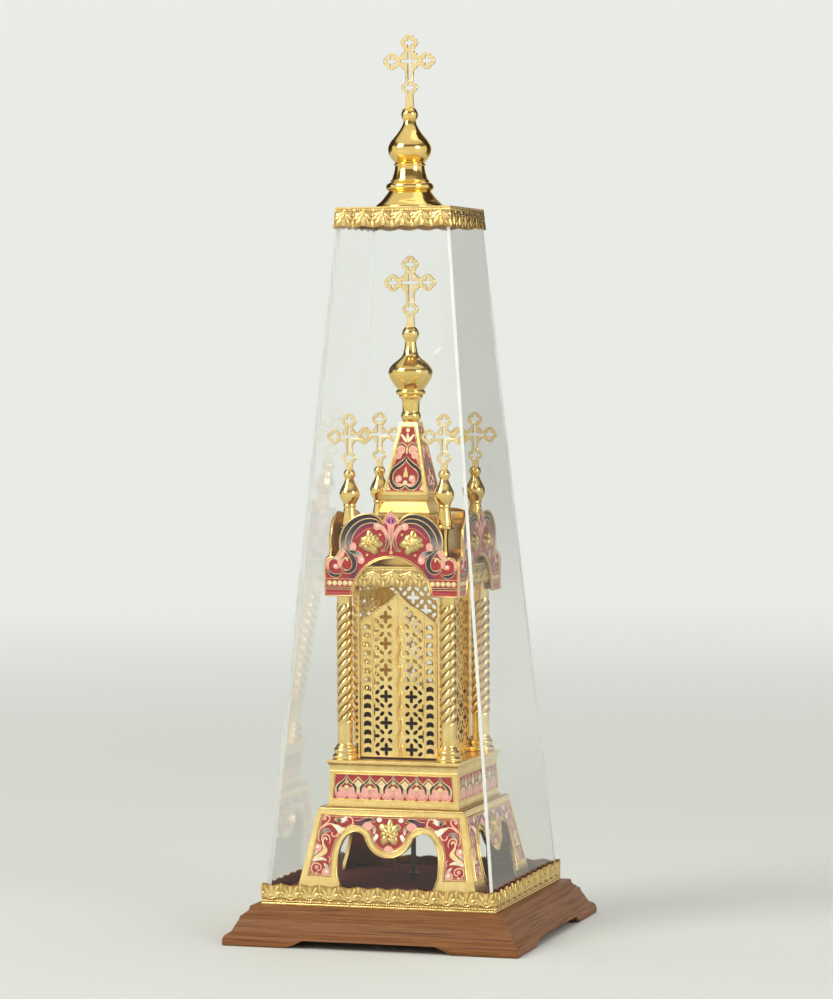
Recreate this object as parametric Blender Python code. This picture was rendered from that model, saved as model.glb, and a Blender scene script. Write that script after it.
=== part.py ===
"""Altar tabernacle: a gilt brass shrine with red enamel plaques, under a glass cover, on a wooden plinth.

Sizes are in millimetres and become metres where a mesh is made. The front faces -Y, +Z is up, and the
origin is the middle of the plinth's underside.
"""

import math

import bmesh
import bpy
from mathutils import Matrix, Vector
from mathutils.geometry import tessellate_polygon

MM = 0.001
GAP = 0.3  # between pieces that touch
SIDES = ("front", "right", "back", "left")

# Wooden plinth
PLINTH_HEIGHT = 35.5
PLINTH_MARGIN = 8.2  # from the gallery to the edge of the plinth's top
PLINTH_SPREAD = 21.0  # from the edge of the top out to the lowest band
PLINTH_WALL = 5.8  # from the hollow to the head of the slope, where the frame is thinnest
PLINTH_BOARD = 13.5
PLINTH_BAND = 12.0  # height of the round-edged lowest band
PLINTH_LIP = 2.8  # the steps between the mouldings
PLINTH_CAP = 9.0  # height of the topmost band
FOOT_GAP_HALF = 79.0  # half-length at the floor of the cut between two feet
FOOT_GAP_SLOPE = 15.0
FOOT_GAP_HEIGHT = 7.5

# Velvet board, gallery and glass cover
VELVET_THICK = 10.7
GALLERY_HALF = 113.8
STRIP_HEIGHT = 20.0  # the stamped strip of the gallery, the frieze and the cover's border
STRIP_THICK = 1.4
STRIP_SCALLOP = 2.4
STRIP_PITCH = 19.0
GLASS_THICK = 4.0
GLASS_PLAY = 0.5  # between the glass and the gallery
GLASS_CLEARANCE = 0.9  # between the small crosses and the glass, which sets how much it tapers
COVER_HEADROOM = 41.3  # from the top of the shrine's cross to the top of the glass
CAP_THICK = 3.4

# Arched stage, splayed, with a double-lobed arch in each face
STAGE_HEIGHT = 76.2
STAGE_LEDGE = 6.6  # from the band stage's foot to the edge of the arched stage's top
STAGE_SPLAY = 16.1
STAGE_WALL = 2.6
STAGE_ROOF = 3.0
STAGE_FRAME_TOP = 6.0
STAGE_FRAME_TOP_SIDE = 4.6
STAGE_FRAME_FOOT_SIDE = 6.4
STAGE_FRAME_FOOT = 13.2
ARCH_HALF = 49.0
ARCH_SPRING = 26.5  # above the velvet
ARCH_RISE = 28.0
ARCH_LOBE_FROM_MIDDLE = 33.0
PENDANT_RADIUS = 24.7
PENDANT_DROP = 23.3  # from the top of the lobes to the tip of the pendant
FOOT_TOE = 3.4  # how far a foot's toe reaches into the arch
FOOT_TOE_HEIGHT = 5.2
FOOT_ANKLE_HEIGHT = 15.0
ARCH_RIM = 5.7
PLAQUE_THICK = 0.9
POCKET_DEPTH = 1.2
PALMETTE_REACH = 12.0
ORNAMENT_PROUD = 1.3
ROD_RADIUS = 2.4

# Band stage between the arches and the casket
BAND_HEIGHT = 43.7
BAND_TAPER = 1.0
CORNICE_MARGIN = 1.7  # from the columns' bases to the edge of the cornice
CORNICE_REACH = 1.2  # how far the cornice and the foot stand out from the panels
CORNICE_THICK = 2.4
CORNICE_COVE = 8.0
BAND_PLINTH = 3.6
BAND_WALL = 2.4
BAND_ROOF = 5.0
BAND_FRAME_SIDE = 4.2
BAND_FRAME_END = 2.4

# Casket: columns, pierced walls and doors
CASKET_HEIGHT = 179.6
CASKET_HALF = 44.5
WALL_THICK = 1.6
COLUMN_FROM_WALL = 6.4
COLUMN_RADIUS = 7.7
COLUMN_FLUTE = 1.5
COLUMN_STRANDS = 4
COLUMN_LEAD = 34.7
COLUMN_BASE_RADIUS = 12.0
COLUMN_BASE_HEIGHT = 12.5
COLUMN_TWIST_START = 36.0
COLUMN_TWIST_LENGTH = 110.0
LATTICE_PITCH = 25.0
DOOR_PIERCING = 5.6  # half-diagonals of the diamond piercings
DOOR_PIERCING_START = 9.2  # from the casket's floor up to the middle of the first row
WALL_PIERCING = 8.2
WALL_PIERCING_START = 14.8
JAMB_WIDTH = 6.0
HINGE_RADIUS = 1.2
DOOR_LIFT = 1.7
DOOR_SHOULDER = 130.0  # height of a leaf at its hinge
DOOR_PEAK = 158.0  # height of a leaf where the two meet
ASTRAGAL_HEIGHT = 125.0
ASTRAGAL_WIDTH = 7.0
ASTRAGAL_PROUD = 0.9
LINING_THICK = 2.0
LINING_PLAY = 0.9
LINING_HEIGHT = 61.0

# Entablature, kokoshniks and attic
PLATE_THICK = 2.8
ENTABLATURE_MARGIN = 4.4  # from the columns to the face of the frieze
KOKOSHNIK_THICK = 2.2
KOKOSHNIK_REACH = 2.4
KOKOSHNIK_DROP = 27.6  # from the top of the entablature down to the kokoshnik's foot
KOKOSHNIK_ARCH_RADIUS = 38.4
KOKOSHNIK_ARCH_CENTRE = -2.4
KOKOSHNIK_PEAK = 80.2
KOKOSHNIK_BUD_HALF = 6.8
LEAF_TOP = 77.0
LEAF_CENTRE = 49.8
LEAF_FROM_MIDDLE = 21.4
LEAF_OUTER = 29.0
LEAF_INNER = 19.6
VOLUTE_RADIUS = 7.8
VOLUTE_HEIGHT = 28.4
CAST_LEAF_FROM_MIDDLE = 19.0
CAST_LEAF_HEIGHT = 49.6
CAST_LEAF_REACH = 12.5
ATTIC_HALF = 40.0
ATTIC_HEIGHT = 47.2
ATTIC_LIP = 0.9
ATTIC_LIP_DROP = 5.0
ATTIC_LIP_HEIGHT = 1.6

# Spire
SPIRE_HEIGHT = 86.5
SPIRE_SKIRT_HALF = 25.6
SPIRE_SKIRT_HEIGHT = 11.7
SPIRE_NECK_HALF = 20.7
SPIRE_BASE_HALF = 23.3
SPIRE_BASE_HEIGHT = 5.4
SPIRE_FOOT_HALF = 22.0
SPIRE_TOP_HALF = 8.5
SPIRE_FRAME = 2.3
SPIRE_FRAME_TOP = 4.2

# Turned pieces, whose profiles are shares of their heights
DOME_HEIGHT = 94.8
FINIAL_HEIGHT = 90.1
PINNACLE_HEIGHT = 90.0
PINNACLE_FROM_ATTIC = 6.6
FINIAL_SIDES = 12
PINNACLE_SIDES = 8

# Crosses, whose outlines are shares of the reach of their arms
CROSS_REACH = 25.4
CROSS_THICK = 3.6
COVER_CROSS_STEM = 43.8  # below the crossing
MAIN_CROSS_STEM = 41.3
SMALL_CROSS_REACH = 21.8
SMALL_CROSS_THICK = 2.8
SMALL_CROSS_STEM = 30.6

# Widths of what stands in or on what
PLINTH_TOP_HALF = GALLERY_HALF + PLINTH_MARGIN
PLINTH_HALF = PLINTH_TOP_HALF + PLINTH_SPREAD
HINGE_FROM_AXIS = CASKET_HALF - JAMB_WIDTH - GAP - HINGE_RADIUS
COLUMN_FROM_AXIS = CASKET_HALF + COLUMN_FROM_WALL
CORNICE_HALF = COLUMN_FROM_AXIS + COLUMN_BASE_RADIUS + CORNICE_MARGIN
BAND_HALF = CORNICE_HALF - CORNICE_REACH
BAND_NECK_HALF = BAND_HALF - BAND_TAPER
BAND_FOOT_HALF = BAND_HALF + CORNICE_REACH
STAGE_TOP_HALF = BAND_FOOT_HALF + STAGE_LEDGE
STAGE_FOOT_HALF = STAGE_TOP_HALF + STAGE_SPLAY
FRIEZE_HALF = COLUMN_FROM_AXIS + COLUMN_RADIUS + ENTABLATURE_MARGIN
KOKOSHNIK_HALF = FRIEZE_HALF + KOKOSHNIK_REACH
PINNACLE_FROM_AXIS = ATTIC_HALF + PINNACLE_FROM_ATTIC

# Heights of what stands on what
BOARD_Z = PLINTH_HEIGHT + GAP
STAGE_Z = BOARD_Z + VELVET_THICK + GAP
BAND_Z = STAGE_Z + STAGE_HEIGHT + GAP
CASKET_Z = BAND_Z + BAND_HEIGHT + GAP
PLATE_Z = CASKET_Z + CASKET_HEIGHT + GAP
PLATE_TOP = PLATE_Z + PLATE_THICK
ATTIC_Z = PLATE_TOP + GAP
SPIRE_Z = ATTIC_Z + ATTIC_HEIGHT + GAP
FINIAL_Z = SPIRE_Z + SPIRE_HEIGHT + GAP
SHRINE_TOP = FINIAL_Z + FINIAL_HEIGHT + GAP + MAIN_CROSS_STEM + CROSS_REACH
SMALL_CROSS_Z = ATTIC_Z + PINNACLE_HEIGHT + GAP + SMALL_CROSS_STEM
GLASS_HEIGHT = SHRINE_TOP + COVER_HEADROOM - BOARD_Z
GLASS_FOOT_HALF = GALLERY_HALF - STRIP_THICK - GLASS_PLAY
GLASS_CROSS_HALF = PINNACLE_FROM_AXIS + SMALL_CROSS_REACH + GLASS_CLEARANCE + GLASS_THICK
GLASS_TAPER = (GLASS_FOOT_HALF - GLASS_CROSS_HALF) / (SMALL_CROSS_Z - BOARD_Z)
CAP_Z = BOARD_Z + GLASS_HEIGHT + GAP
DOME_Z = CAP_Z + CAP_THICK + GAP
KOKOSHNIK_Z = PLATE_TOP - KOKOSHNIK_DROP
KOKOSHNIK_FACE = FRIEZE_HALF + GAP + KOKOSHNIK_THICK


def clear_scene():
    for obj in list(bpy.data.objects):
        bpy.data.objects.remove(obj, do_unlink=True)


def finish(name, colour, roughness, metallic=0.0, transmission=0.0):
    """A Principled material."""
    material = bpy.data.materials.new(name)
    material.use_nodes = True
    shader = material.node_tree.nodes["Principled BSDF"]
    shader.inputs["Base Color"].default_value = (*colour, 1.0)
    shader.inputs["Roughness"].default_value = roughness
    shader.inputs["Metallic"].default_value = metallic
    shader.inputs["Transmission Weight"].default_value = transmission
    return material


def mesh_object(name, points, faces, material, smooth_angle=None):
    """A closed mesh from points in millimetres, with its faces turned outwards."""
    mesh = bpy.data.meshes.new(name)
    mesh.from_pydata([Vector(p) * MM for p in points], [], faces)
    bm = bmesh.new()
    bm.from_mesh(mesh)
    bmesh.ops.recalc_face_normals(bm, faces=bm.faces)
    bm.to_mesh(mesh)
    bm.free()
    if smooth_angle is not None:
        mesh.shade_smooth()
        mesh.set_sharp_from_angle(angle=smooth_angle)
    mesh.materials.append(material)
    obj = bpy.data.objects.new(name, mesh)
    bpy.context.scene.collection.objects.link(obj)
    return obj


def combine(obj, other, operation):
    """Keeps a Boolean with another object, which then only serves as a tool."""
    modifier = obj.modifiers.new(operation.title(), "BOOLEAN")
    modifier.operation = operation
    modifier.object = other
    modifier.material_mode = "TRANSFER"
    other.hide_render = True
    other.display_type = "WIRE"


def rings_object(name, rings, material, smooth_angle=None):
    """Skins rings that all have the same number of points, and closes both ends."""
    count = len(rings[0])
    points = [p for ring in rings for p in ring]
    faces = [list(range(count)), [len(points) - count + i for i in range(count)]]
    for level in range(len(rings) - 1):
        start = level * count
        for i in range(count):
            j = (i + 1) % count
            faces.append((start + i, start + j, start + count + j, start + count + i))
    return mesh_object(name, points, faces, material, smooth_angle)


def square_ring(half, z):
    return [(-half, -half, z), (half, -half, z), (half, half, z), (-half, half, z)]


def square_loft(name, profile, material):
    """A four-sided body whose profile is (half-width, height)."""
    return rings_object(name, [square_ring(half, z) for half, z in profile], material)


def box(name, low, high, material):
    corners = [(low[0], low[1]), (high[0], low[1]), (high[0], high[1]), (low[0], high[1])]
    rings = [[(x, y, z) for x, y in corners] for z in (low[2], high[2])]
    return rings_object(name, rings, material)


def turned(name, profile, sides, centre, material):
    """A turned body: (radius, height) from the foot up, spun round a vertical axis."""
    x, y, foot = centre
    rings = []
    for radius, z in profile:
        turns = [2 * math.pi * (i + 0.5) / sides for i in range(sides)]
        rings.append([(x + radius * math.cos(a), y + radius * math.sin(a), foot + z) for a in turns])
    return rings_object(name, rings, material, math.radians(40))


def quarter_turn(side):
    """Turns what faces the front to face another side."""
    return Matrix.Rotation(math.pi / 2 * side, 3, "Z")


def plate(name, loops, place, low, high, material):
    """A plate with the first loop as its outline and the others as holes, between two depths."""
    flat = [point for loop in loops for point in loop]
    triangles = tessellate_polygon([[Vector((u, v, 0.0)) for u, v in loop] for loop in loops])
    count = len(flat)
    points = [place(u, v, depth) for depth in (low, high) for u, v in flat]
    faces = [tuple(t) for t in triangles] + [tuple(i + count for i in reversed(t)) for t in triangles]
    start = 0
    for loop in loops:
        for i in range(len(loop)):
            a, b = start + i, start + (i + 1) % len(loop)
            faces.append((a, b, b + count, a + count))
        start += len(loop)
    return mesh_object(name, points, faces, material)


def upright(side, distance):
    """Places a plate upright on a side, at a distance from the axis; depth grows outwards."""
    turn = quarter_turn(side)
    return lambda u, v, depth: turn @ Vector((u, -(distance + depth), v))


def sloping(side, foot_half, top_half, foot_z, top_z):
    """Places a plate on a sloping face, by width and height; depth grows along the face's normal."""
    turn = quarter_turn(side)
    lean = (foot_half - top_half) / (top_z - foot_z)
    length = math.hypot(1.0, lean)

    def place(u, v, depth):
        face = foot_half - (v - foot_z) * lean
        return turn @ Vector((u, -face - depth / length, v + depth * lean / length))

    return place


def arc(centre, radii, start, end, steps):
    """Points on an arc or a quarter of an ellipse, angles in degrees, both ends included."""
    angles = [math.radians(start + (end - start) * i / steps) for i in range(steps + 1)]
    return [(centre[0] + radii[0] * math.cos(a), centre[1] + radii[1] * math.sin(a)) for a in angles]


def through(knots, steps):
    """A smooth curve through knots, with a few points between each two."""
    first = [2 * a - b for a, b in zip(knots[0], knots[1])]
    last = [2 * a - b for a, b in zip(knots[-1], knots[-2])]
    ends = [first, *knots, last]
    points = []
    for p, q, r, s in zip(ends, ends[1:], ends[2:], ends[3:]):
        for i in range(steps):
            t = i / steps
            points.append(
                tuple(
                    b + 0.5 * t * (c - a + t * (2 * a - 5 * b + 4 * c - d + t * (3 * (b - c) + d - a)))
                    for a, b, c, d in zip(p, q, r, s)
                )
            )
    return points + [tuple(knots[-1])]


def mirrored(half_outline):
    """Closes an outline that runs from the middle to the middle on the +X side."""
    return half_outline + [(-x, y) for x, y in reversed(half_outline) if x > 1e-6]


def glass_half(z):
    """Outer half-width of the glass at a height."""
    return GLASS_FOOT_HALF - GLASS_TAPER * (z - BOARD_Z)


def strip_ring(name, half_at, plain_z, edge_z, material):
    """The stamped strip bent round a square: one plain edge, and one edge scalloped by its leaves.

    half_at gives the outer half-width at a height.
    """
    inwards = math.copysign(STRIP_SCALLOP, plain_z - edge_z)
    motifs = max(2, round(2 * half_at(edge_z) / STRIP_PITCH))
    steps = [(0.0, 1.0), (0.5, 0.0)]
    shares = [(m + t, dip) for m in range(motifs) for t, dip in steps]
    points = []
    loops = []
    for shrink in (0.0, STRIP_THICK):
        plain, edge = [], []
        for side in range(4):
            turn = quarter_turn(side)
            half = half_at(plain_z) - shrink
            plain.append(len(points))
            points.append(turn @ Vector((-half, -half, plain_z)))
            row = []
            for share, dip in shares:
                z = edge_z + inwards * dip
                half = half_at(z) - shrink
                row.append(len(points))
                points.append(turn @ Vector((half * (2 * share / motifs - 1), -half, z)))
            edge.append(row)
        loops.append((plain, edge))
    faces = []
    for plain, edge in loops:
        for side in range(4):
            following = (side + 1) % 4
            faces.append([plain[side], plain[following], edge[following][0], *reversed(edge[side])])
    (outer_plain, outer_edge), (inner_plain, inner_edge) = loops
    outer = [i for row in outer_edge for i in row]
    inner = [i for row in inner_edge for i in row]
    for first, second in ((outer, inner), (outer_plain, inner_plain)):
        for i in range(len(first)):
            j = (i + 1) % len(first)
            faces.append((first[i], first[j], second[j], second[i]))
    return mesh_object(name, points, faces, material)


def make_plinth():
    """A moulded frame with a top board, hollow underneath, with a low cut between its bracket feet."""
    slope_top = PLINTH_HEIGHT - PLINTH_CAP
    band_half = PLINTH_HALF - 2.6
    slope_foot_half = band_half - PLINTH_LIP
    cap_half = PLINTH_TOP_HALF + 4.0
    slope_head_half = cap_half + PLINTH_LIP
    round_edge = arc((band_half, 4.4), (2.6, PLINTH_BAND - 6.0), 0, 75, 3)
    profile = [
        (PLINTH_HALF - 1.2, 0.0),
        (PLINTH_HALF, 1.2),
        *round_edge,
        (slope_foot_half, PLINTH_BAND),
        (0.5 * (slope_foot_half + slope_head_half) - 0.6, 0.5 * (PLINTH_BAND + slope_top)),
        (slope_head_half, slope_top),
        (cap_half, slope_top + 1.6),
        (PLINTH_TOP_HALF + 1.2, PLINTH_HEIGHT - 3.4),
        (PLINTH_TOP_HALF, PLINTH_HEIGHT),
    ]
    plinth = square_loft("wood_plinth", profile, WOOD)
    inner = slope_head_half - PLINTH_WALL
    roof = PLINTH_HEIGHT - PLINTH_BOARD
    hollow = box("plinth_hollow_tool", (-inner, -inner, -5), (inner, inner, roof), WOOD)
    combine(plinth, hollow, "DIFFERENCE")
    top_half = FOOT_GAP_HALF - FOOT_GAP_SLOPE
    steepness = FOOT_GAP_SLOPE / FOOT_GAP_HEIGHT
    low_half = FOOT_GAP_HALF + 5 * steepness
    outline = [(-low_half, -5), (low_half, -5), (top_half, FOOT_GAP_HEIGHT), (-top_half, FOOT_GAP_HEIGHT)]
    for side in range(2):
        reach = PLINTH_HALF + 5
        tool = plate(f"foot_gap_tool_{side}", [outline], upright(side, 0), -reach, reach, WOOD)
        combine(plinth, tool, "DIFFERENCE")


def make_velvet_board():
    half = glass_half(BOARD_Z + VELVET_THICK) - GLASS_THICK - 0.4
    box("velvet_board", (-half, -half, BOARD_Z), (half, half, BOARD_Z + VELVET_THICK), VELVET)


def make_gallery():
    strip_ring("base_gallery", lambda z: GALLERY_HALF, BOARD_Z, BOARD_Z + STRIP_HEIGHT, GILT)


def make_glass():
    """Four panes, mitred at their edges."""
    mitre = GAP / math.sqrt(2)
    for side, where in enumerate(SIDES):
        turn = quarter_turn(side)
        rings = []
        for z in (BOARD_Z, BOARD_Z + GLASS_HEIGHT):
            outer = glass_half(z)
            inner = outer - GLASS_THICK
            outside = [(-outer + mitre, -outer), (outer - mitre, -outer)]
            inside = [(inner - mitre, -inner), (-inner + mitre, -inner)]
            rings.append([turn @ Vector((x, y, z)) for x, y in outside + inside])
        rings_object(f"glass_pane_{where}", rings, GLASS)


def make_cap():
    """The plate on the glass and the stamped border that wraps both."""
    half = glass_half(CAP_Z)
    top = CAP_Z + CAP_THICK
    square_loft("cap_plate", [(half, CAP_Z), (half, top - 0.8), (half - 0.8, top)], GILT)
    strip_ring("cap_border", lambda z: glass_half(z) + GAP + STRIP_THICK, top, top - STRIP_HEIGHT, GILT)


def ball(radius, centre_z, foot_radius, head_radius, steps):
    """The profile of a ball, cut flat where a neck or a cross meets it."""
    low = math.degrees(math.acos(foot_radius / radius))
    high = math.degrees(math.acos(head_radius / radius))
    return arc((0.0, centre_z), (radius, radius), -low, high, steps)


def stretched(profile, height):
    """A profile given in shares of its height, its last point's height first made exactly one."""
    top = profile[-1][1]
    return [(radius * height, z / top * height) for radius, z in profile]


def make_cover_dome():
    """Flared foot, ring, drum, onion and ball, turned in one piece."""
    profile = [
        (0.346, 0.0),
        *through([(0.346, 0.0148), (0.27, 0.0717), (0.2173, 0.1603)], 2),
        (0.2278, 0.173),
        (0.2278, 0.2426),
        (0.1835, 0.2764),
        (0.1519, 0.4177),
        (0.1403, 0.4473),
        *through([(0.1962, 0.4979), (0.2194, 0.5802), (0.1582, 0.73), (0.0612, 0.865)], 2),
        *ball(0.0844, 0.9293, 0.0591, 0.0464, 4)[1:],
    ]
    turned("cover_dome", stretched(profile, DOME_HEIGHT), FINIAL_SIDES, (0, 0, DOME_Z), GILT)


def make_main_finial():
    """Torus, drum, discs, onion and ball on the spire."""
    profile = [
        (0.0844, 0.0),
        (0.1077, 0.0444),
        (0.091, 0.1065),
        (0.0977, 0.2153),
        (0.1265, 0.2486),
        (0.1287, 0.2819),
        (0.1587, 0.3041),
        (0.1454, 0.3352),
        *through([(0.1931, 0.4151), (0.2375, 0.515), (0.1421, 0.6526), (0.0599, 0.7814)], 2),
        *ball(0.0899, 0.9234, 0.0555, 0.0466, 4),
    ]
    turned("main_finial", stretched(profile, FINIAL_HEIGHT), FINIAL_SIDES, (0, 0, FINIAL_Z), GILT)


def make_pinnacles():
    """Baluster stem, disc, bell, bulb and ball over each column, with a small cross on top."""
    profile = [
        (0.0667, 0.0),
        (0.0667, 0.0822),
        (0.04, 0.1333),
        (0.0511, 0.3756),
        (0.1, 0.3956),
        (0.0878, 0.42),
        (0.06, 0.6),
        (0.0656, 0.6267),
        (0.1056, 0.74),
        (0.0844, 0.8178),
        (0.0433, 0.8978),
        *ball(0.0633, 0.9489, 0.0411, 0.0378, 3)[1:],
    ]
    place = PINNACLE_FROM_AXIS
    corners = {"front_left": (-1, -1), "front_right": (1, -1), "back_right": (1, 1), "back_left": (-1, 1)}
    for where, (sx, sy) in corners.items():
        centre = (sx * place, sy * place, ATTIC_Z)
        turned(f"pinnacle_{where}", stretched(profile, PINNACLE_HEIGHT), PINNACLE_SIDES, centre, GILT)
        small_cross(f"pinnacle_cross_{where}", sx * place, sy * place)


def bud(reach, radius, direction, step):
    """The three-lobed end of a cross's arm, from one side of the arm round to the other."""
    centre = reach - radius
    points = []
    for i in range(round(270 / step) + 1):
        turn = math.radians(-135 + i * step)
        r = radius * (0.9 + 0.1 * math.cos(4 * turn))
        u, v = centre + r * math.cos(turn), r * math.sin(turn)
        c, s = math.cos(direction), math.sin(direction)
        points.append((u * c - v * s, u * s + v * c))
    return points


def cross_outline(reach, bud_radius, stem_half, bar_half, block, knop, foot, step):
    """A cross with budded arms round its middle, and a knop on its stem, from the foot up the +X side."""
    corner = [(block, bar_half), (stem_half, block)]
    knop_half = 0.55 * bud_radius
    right = [
        (stem_half, -foot),
        (stem_half, -knop - knop_half),
        (bud_radius, -knop - 0.3 * knop_half),
        (bud_radius, -knop + 0.3 * knop_half),
        (stem_half, -knop + knop_half),
        *[(x, -y) for x, y in reversed(corner)],
        *bud(reach, bud_radius, 0.0, step),
        *corner,
    ]
    top = bud(reach, bud_radius, math.pi / 2, step)
    return right + top + [(-x, y) for x, y in reversed(right)]


def cross_slot(half, up, down, width):
    """The cross-shaped opening in the middle of a cross."""
    right = [(width, -down), (width, -width), (half, -width), (half, width), (width, width), (width, up)]
    return right + [(-x, y) for x, y in reversed(right)]


def large_cross(name, foot_z, stem):
    """A pierced cross that faces the front; stem is its length below the crossing."""
    reach = CROSS_REACH
    shares = (0.319, 0.165, 0.122, 0.307, 0.992)
    outline = cross_outline(reach, *(share * reach for share in shares), stem, 33.75)
    slot = cross_slot(0.33 * reach, 0.323 * reach, 0.732 * reach, 0.059 * reach)
    place = upright(0, 0)
    middle = foot_z + stem
    lifted = [[(x, y + middle) for x, y in loop] for loop in (outline, slot)]
    plate(name, lifted, place, -CROSS_THICK / 2, CROSS_THICK / 2, GILT)


def small_cross(name, x, y):
    reach = SMALL_CROSS_REACH
    shares = (0.33, 0.147, 0.124, 0.303, 0.917)
    outline = cross_outline(reach, *(share * reach for share in shares), SMALL_CROSS_STEM, 45)
    lifted = [(u + x, v + SMALL_CROSS_Z) for u, v in outline]
    plate(name, [lifted], upright(0, -y), -SMALL_CROSS_THICK / 2, SMALL_CROSS_THICK / 2, GILT)


def arch_edge(margin, steps):
    """The +X half of the double-lobed arch, from the pendant's tip out and down to the spring.

    margin moves the edge away from the opening. Width and height are from the middle and the velvet.
    """
    lobe_top = ARCH_SPRING + ARCH_RISE
    pendant_centre = lobe_top - PENDANT_DROP + PENDANT_RADIUS
    over = pendant_centre - lobe_top
    reach = ARCH_LOBE_FROM_MIDDLE
    lobe = (reach**2 + over**2 - PENDANT_RADIUS**2) / (2 * (PENDANT_RADIUS - over))
    lobe_centre = lobe_top - lobe
    meet = math.degrees(math.atan2(pendant_centre - lobe_centre, reach))
    pendant = arc((0, pendant_centre), [PENDANT_RADIUS - margin] * 2, -90, -meet, steps)
    inner = arc((reach, lobe_centre), [lobe + margin] * 2, 180 - meet, 90, steps)
    axes = (ARCH_HALF - reach + margin, ARCH_RISE + margin)
    outer = arc((reach, ARCH_SPRING), axes, 90, 0, steps + 1)
    return pendant + inner[1:] + outer[1:]


def make_arch_stage():
    """The hollow splayed stage: arches cut through it both ways, pockets for the enamel, a roof plate."""
    foot, top = STAGE_Z, STAGE_Z + STAGE_HEIGHT
    lean = (STAGE_FOOT_HALF - STAGE_TOP_HALF) / STAGE_HEIGHT
    stage = square_loft("arch_stage", [(STAGE_FOOT_HALF, foot), (STAGE_TOP_HALF, top)], GILT)
    roof = top - STAGE_ROOF
    below = foot - 5
    hollow_profile = [
        (STAGE_FOOT_HALF - STAGE_WALL + 5 * lean, below),
        (STAGE_TOP_HALF - STAGE_WALL + STAGE_ROOF * lean, roof),
    ]
    combine(stage, square_loft("stage_hollow_tool", hollow_profile, GILT), "DIFFERENCE")
    toe = ARCH_HALF - FOOT_TOE
    half = arch_edge(0.0, 3) + [(ARCH_HALF, FOOT_ANKLE_HEIGHT), (toe, FOOT_TOE_HEIGHT), (toe, -5)]
    opening = [(x, foot + z) for x, z in mirrored(half)]
    for side in range(2):
        reach = STAGE_FOOT_HALF + 10
        tool = plate(f"arch_tool_{side}", [opening], upright(side, 0), -reach, reach, GILT)
        combine(stage, tool, "DIFFERENCE")
    for side, where in enumerate(SIDES):
        place = sloping(side, STAGE_FOOT_HALF, STAGE_TOP_HALF, foot, top)
        pocket = plate(f"stage_pocket_tool_{where}", [stage_plaque(GAP)], place, -POCKET_DEPTH, 4, GILT)
        combine(stage, pocket, "DIFFERENCE")
        low = -POCKET_DEPTH + GAP
        plaque = plate(f"arch_plaque_{where}", [stage_plaque(0.0)], place, low, low + PLAQUE_THICK, ENAMEL)
        palmette_z = foot + ARCH_SPRING + ARCH_RISE - 2.4
        outline = leaf_outline((0, palmette_z), PALMETTE_REACH)
        depths = (low + 0.3, low + PLAQUE_THICK + ORNAMENT_PROUD)
        cast = plate(f"palmette_tool_{where}", [outline], place, *depths, GILT)
        combine(plaque, cast, "UNION")
    length = roof - GAP - STAGE_Z
    turned("tie_rod", [(ROD_RADIUS, 0.0), (ROD_RADIUS, length)], 8, (0, 0, STAGE_Z), STEEL)


def stage_plaque(grow):
    """Outline of the enamel round an arch: a splayed field with two legs, grown by a clearance."""
    foot = STAGE_Z
    low = STAGE_FRAME_FOOT - grow
    high = STAGE_HEIGHT - STAGE_FRAME_TOP + grow
    lean = (STAGE_FOOT_HALF - STAGE_TOP_HALF) / STAGE_HEIGHT
    low_half = STAGE_FOOT_HALF - low * lean - STAGE_FRAME_FOOT_SIDE + grow
    high_half = STAGE_FOOT_HALF - high * lean - STAGE_FRAME_TOP_SIDE + grow
    leg = ARCH_HALF + ARCH_RIM - grow
    half = arch_edge(ARCH_RIM - grow, 2) + [(leg, low), (low_half, low), (high_half, high)]
    return [(x, foot + z) for x, z in mirrored(half)]


def leaf_outline(centre, reach):
    """A cast leaf with five blunt lobes, one pointing down."""
    points = []
    for i in range(10):
        turn = math.radians(-90 + 36 * i)
        r = reach * (1.0 if i % 2 == 0 else 0.72)
        points.append((centre[0] + r * math.cos(turn), centre[1] + r * math.sin(turn)))
    return points


def make_band_stage():
    """A moulded box with a cornice, open below, with a pocket for an enamel panel in each face."""
    foot, top = BAND_Z, BAND_Z + BAND_HEIGHT
    neck = top - CORNICE_COVE - CORNICE_THICK
    body_foot = foot + BAND_PLINTH + 0.8
    profile = [
        (BAND_FOOT_HALF, foot),
        (BAND_FOOT_HALF, foot + BAND_PLINTH),
        (BAND_HALF, body_foot),
        (BAND_NECK_HALF, neck),
        (BAND_NECK_HALF + 0.6, neck + 0.5 * CORNICE_COVE),
        (CORNICE_HALF, top - CORNICE_THICK),
        (CORNICE_HALF, top),
    ]
    stage = square_loft("band_stage", profile, GILT)
    inner = BAND_NECK_HALF - BAND_WALL - POCKET_DEPTH
    hollow = box("band_hollow_tool", (-inner, -inner, foot - 5), (inner, inner, top - BAND_ROOF), GILT)
    combine(stage, hollow, "DIFFERENCE")
    low, high = body_foot + BAND_FRAME_END, neck - BAND_FRAME_END
    for side, where in enumerate(SIDES):
        place = sloping(side, BAND_HALF, BAND_NECK_HALF, body_foot, neck)
        panel = band_panel(low, high, GAP)
        pocket = plate(f"band_pocket_tool_{where}", [panel], place, -POCKET_DEPTH, 3, GILT)
        combine(stage, pocket, "DIFFERENCE")
        depth = -POCKET_DEPTH + GAP
        panel = band_panel(low, high, 0.0)
        plate(f"band_plaque_{where}", [panel], place, depth, depth + PLAQUE_THICK, ENAMEL)


def band_panel(low, high, grow):
    low_half = BAND_HALF - BAND_FRAME_SIDE + 0.6 + grow
    high_half = BAND_NECK_HALF - BAND_FRAME_SIDE - 0.6 + grow
    foot, head = low - grow, high + grow
    return [(-low_half, foot), (low_half, foot), (high_half, head), (-high_half, head)]


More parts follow.
